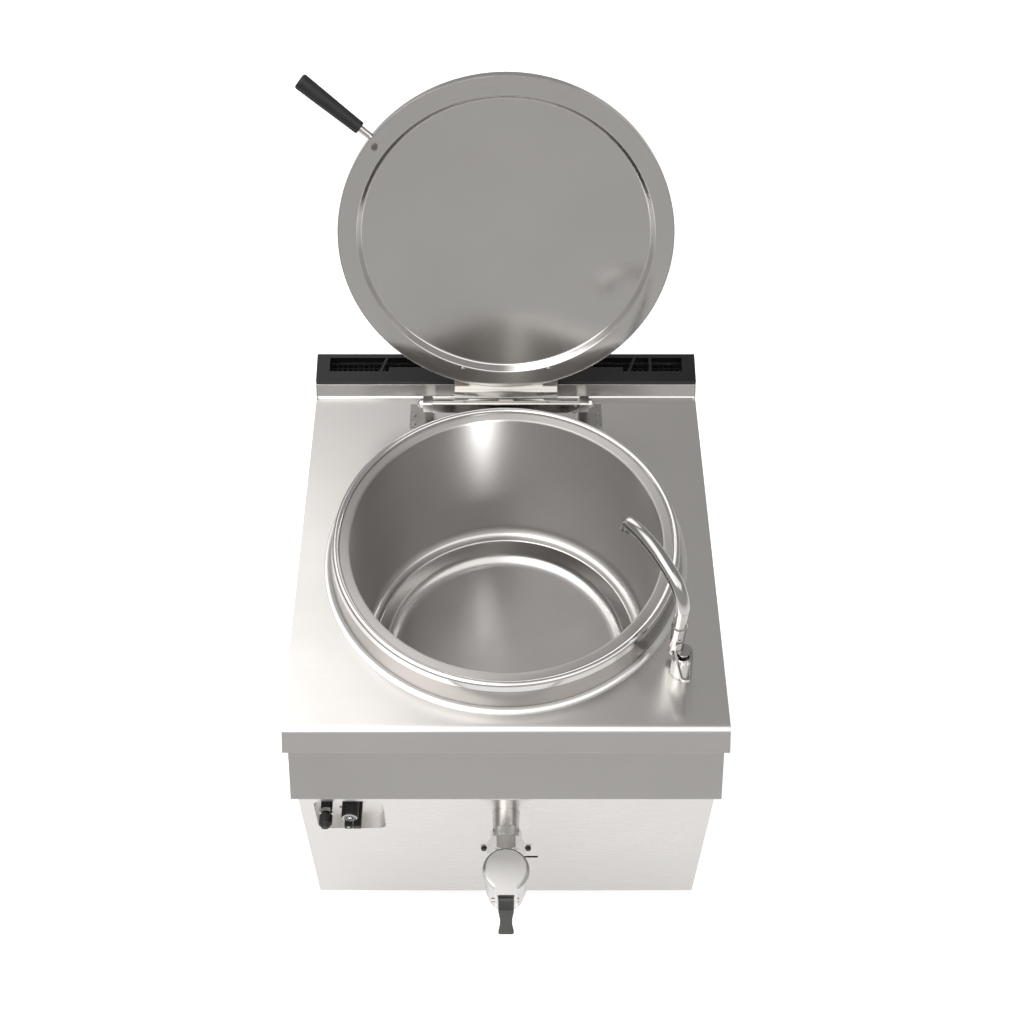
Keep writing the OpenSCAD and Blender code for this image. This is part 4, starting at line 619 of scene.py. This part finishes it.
innerArc = arcPoints((discEdge, discHeight - linerSpec["inner"]), linerSpec["inner"],
                     90 - linerSpec["slope"], 90, count=8)
linerProfile = ([(linerSpec["edge"], linerSpec["low"])] + outerArc + innerArc
                + [(radius, discHeight) for radius in linerSpec["discRings"]])
hinge = Vector(joints["lid_hinge"]["pos_m"])
lidTravel = math.radians(joints["lid_hinge"]["range_deg"][1])
opened = (Matrix.Translation(hinge) @ Matrix.Rotation(-lidTravel, 4, "X")
          @ Matrix.Translation(-hinge))
spunSheet("lidLining", linerSpec, linerProfile, opened, "lid")

# Small slotted screws in metres: one in the control recess, two on the hinge cover's right end
coverLow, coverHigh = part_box("hinge_cover")
recessLow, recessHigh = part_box("control_recess")
coverScrew = {"radius": 0.0034, "height": 0.0018, "slot": 0.0009}
coverX, coverY = 0.1425, coverLow[1] - 0.00005
screws = {
    "recessScrew": {"place": (-0.328, recessHigh[1] - 0.0013, 0.486), "radius": 0.0032,
                    "height": 0.0016, "slot": 0.0009, "turn": 20},
    "coverScrewUpper": {**coverScrew, "turn": 65,
                        "place": (coverX, coverY, coverHigh[2] - 0.006)},
    "coverScrewLower": {**coverScrew, "turn": -30,
                        "place": (coverX, coverY, coverHigh[2] - 0.024)},
}
facingFront = Matrix.Rotation(math.radians(90), 4, "X")
for name, spec in screws.items():
    shape = slottedHead(spec)
    turned = (Matrix.Translation(spec["place"]) @ facingFront
              @ Matrix.Rotation(math.radians(spec["turn"]), 4, "Z"))
    bmesh.ops.transform(shape, matrix=turned, verts=shape.verts)
    addPiece(name, shape, "platedSteel", "cabinet")

# Raised print on the two buttons' faces in metres: white on the pilot button, red on the off
# button, with a hair's gap behind it
markSpec = {"radius": 0.0026, "height": 0.0002, "gap": 0.00002}
marks = {
    "pilotMark": {"node": "pilot_button", "body": "pilot_button_body",
                  "material": "whitePrint"},
    "offMark": {"node": "off_button", "body": "off_button_body", "material": "redPrint"},
}
for name, spec in marks.items():
    low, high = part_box(spec["node"])
    shape = raisedDisc(markSpec["radius"], markSpec["height"], 20)[0]
    centre = ((low[0] + high[0]) / 2, low[1] - markSpec["gap"], (low[2] + high[2]) / 2)
    bmesh.ops.transform(shape, matrix=Matrix.Translation(centre) @ facingFront,
                        verts=shape.verts)
    addPiece(name, shape, spec["material"], spec["body"])
print("screws and marks made")

# Floor: white to the camera with soft shadows, and in reflections bright near the cabinet and
# greyer far out
floorSpec = {"half": 16.0, "near": 1.0, "far": 4.5, "nearTone": 0.66, "farTone": 0.34,
             "nearGlow": 0.14, "farGlow": 0.08, "seenTone": 0.85, "seenGlow": 0.45}
floorShape = bmesh.new()
bmesh.ops.create_grid(floorShape, x_segments=1, y_segments=1, size=floorSpec["half"])
floor = addObject("floor", floorShape)
floorMaterial, floorTree = newMaterial("paleStudioFloor")
floorPlace = addNode(floorTree, "ShaderNodeTexCoord")
floorReach = addNode(floorTree, "ShaderNodeVectorMath", {"operation": "LENGTH"},
                     {0: floorPlace.outputs["Object"]})
floorPath = addNode(floorTree, "ShaderNodeLightPath")
floorLevels = {}
for kind in ("Tone", "Glow"):
    reflected = addNode(floorTree, "ShaderNodeMapRange", {"interpolation_type": "SMOOTHSTEP"},
                        {"Value": floorReach.outputs["Value"], "From Min": floorSpec["near"],
                         "From Max": floorSpec["far"], "To Min": floorSpec["near" + kind],
                         "To Max": floorSpec["far" + kind]})
    floorLevels[kind] = addNode(floorTree, "ShaderNodeMix", {"data_type": "FLOAT"},
                                {0: floorPath.outputs["Is Camera Ray"],
                                 2: reflected.outputs["Result"],
                                 3: floorSpec["seen" + kind]}).outputs[0]
floorDiffuse = addNode(floorTree, "ShaderNodeBsdfDiffuse", None, {"Color": floorLevels["Tone"]})
floorEmission = addNode(floorTree, "ShaderNodeEmission", None,
                        {"Strength": floorLevels["Glow"]})
floorSum = addNode(floorTree, "ShaderNodeAddShader", None,
                   {0: floorDiffuse.outputs["BSDF"], 1: floorEmission.outputs["Emission"]})
addNode(floorTree, "ShaderNodeOutputMaterial", None, {"Surface": floorSum.outputs["Shader"]})
floor.data.materials.append(floorMaterial)

# Studio round the object: grey walls that change from "front" to "back" along Y, and soft white
# panels given by where their edges lie in the direction from the object, as (axis, dark from,
# full at)
studio = {
    "tone": "#fffdfb",
    "wall": {"front": 0.49, "back": 0.35, "frontY": -0.6, "backY": 0.4},
    "panels": {
        "overhead": {"level": 1.15, "edges": [("Y", -0.04, -0.22), ("Y", -0.84, -0.7),
                                              ("Z", 0.42, 0.6)]},
        "leftHigh": {"level": 1.6, "edges": [("X", 0.06, -0.17), ("Z", 0.42, 0.72),
                                             ("Y", 0.78, 0.5)]},
    },
}
world = bpy.data.worlds.new("studio")
bpy.context.scene.world = world
world.use_nodes = True
sky = world.node_tree
sky.nodes.clear()
skyPlace = addNode(sky, "ShaderNodeTexCoord")
skyAxes = addNode(sky, "ShaderNodeSeparateXYZ", None, {"Vector": skyPlace.outputs["Generated"]})
skyLevel = addNode(sky, "ShaderNodeMapRange", {"interpolation_type": "SMOOTHSTEP"},
                   {"Value": skyAxes.outputs["Y"], "From Min": studio["wall"]["frontY"],
                    "From Max": studio["wall"]["backY"], "To Min": studio["wall"]["front"],
                    "To Max": studio["wall"]["back"]}).outputs["Result"]
for panel in studio["panels"].values():
    level = panel["level"]
    for axis, dark, full in panel["edges"]:
        edge = addNode(sky, "ShaderNodeMapRange", {"interpolation_type": "SMOOTHSTEP"},
                       {"Value": skyAxes.outputs[axis], "From Min": dark, "From Max": full})
        level = addNode(sky, "ShaderNodeMath", {"operation": "MULTIPLY"},
                        {0: edge.outputs["Result"], 1: level}).outputs["Value"]
    skyLevel = addNode(sky, "ShaderNodeMath", {"operation": "ADD"},
                       {0: level, 1: skyLevel}).outputs["Value"]
studioLit = addNode(sky, "ShaderNodeBackground", None,
                    {"Color": linearColour(studio["tone"]), "Strength": skyLevel})
studioSeen = addNode(sky, "ShaderNodeBackground", None,
                     {"Color": (1, 1, 1, 1), "Strength": 1.0})
skyPath = addNode(sky, "ShaderNodeLightPath")
skyMix = addNode(sky, "ShaderNodeMixShader", None,
                 {0: skyPath.outputs["Is Camera Ray"], 1: studioLit.outputs["Background"],
                  2: studioSeen.outputs["Background"]})
addNode(sky, "ShaderNodeOutputWorld", None, {"Surface": skyMix.outputs["Shader"]})

# Soft lamps that model the matt pieces and stay out of the sheet's reflections, and a tall
# narrow one, on the pan alone, that draws the upright streak on its wall
lamps = {
    "overhead": {"place": (-0.4, 0.4, 3.6), "target": (0, 0, 0.8), "size": (2.4, 1.8),
                 "power": 40, "glossy": False},
    "frontFill": {"place": (1.4, -3.2, 2.4), "target": (0, 0, 0.7), "size": (2.4, 1.6),
                  "power": 25, "glossy": False},
    "wallStreak": {"place": (0.66, -2.42, 1.5), "target": (-0.05, 0.25, 0.85),
                   "size": (0.2, 0.75), "power": 100, "glossy": True, "only": "panLining"},
}
for name, lamp in lamps.items():
    data = bpy.data.lights.new(name, "AREA")
    data.shape = "RECTANGLE"
    data.size = lamp["size"][0]
    data.size_y = lamp["size"][1]
    data.energy = lamp["power"]
    light = bpy.data.objects.new(name, data)
    light.location = lamp["place"]
    aim = Vector(lamp["target"]) - Vector(lamp["place"])
    light.rotation_euler = aim.to_track_quat("-Z", "Y").to_euler()
    light.visible_glossy = lamp["glossy"]
    light.visible_camera = False
    bpy.context.scene.collection.objects.link(light)
    if "only" in lamp:
        receivers = bpy.data.collections.new(name + "Receivers")
        receivers.objects.link(bpy.data.objects[lamp["only"]])
        light.light_linking.receiver_collection = receivers

# Camera fitted to the photograph, looking down from the front: millimetres, degrees, and its
# place in metres from the pan's axis
cameraSpec = {"lens": 51.93, "sensor": 36.0, "tilt": 38.15, "place": (-0.002, -1.664, 3.132)}
cameraData = bpy.data.cameras.new("photoCamera")
cameraData.lens = cameraSpec["lens"]
cameraData.sensor_width = cameraSpec["sensor"]
camera = bpy.data.objects.new("photoCamera", cameraData)
camera.location = Vector(cameraSpec["place"]) + Vector((0, panY, 0))
camera.rotation_euler = (math.radians(cameraSpec["tilt"]), 0, 0)
bpy.context.scene.collection.objects.link(camera)
bpy.context.scene.camera = camera
bpy.context.scene.view_settings.view_transform = "Standard"
print("stage, lights and camera set")
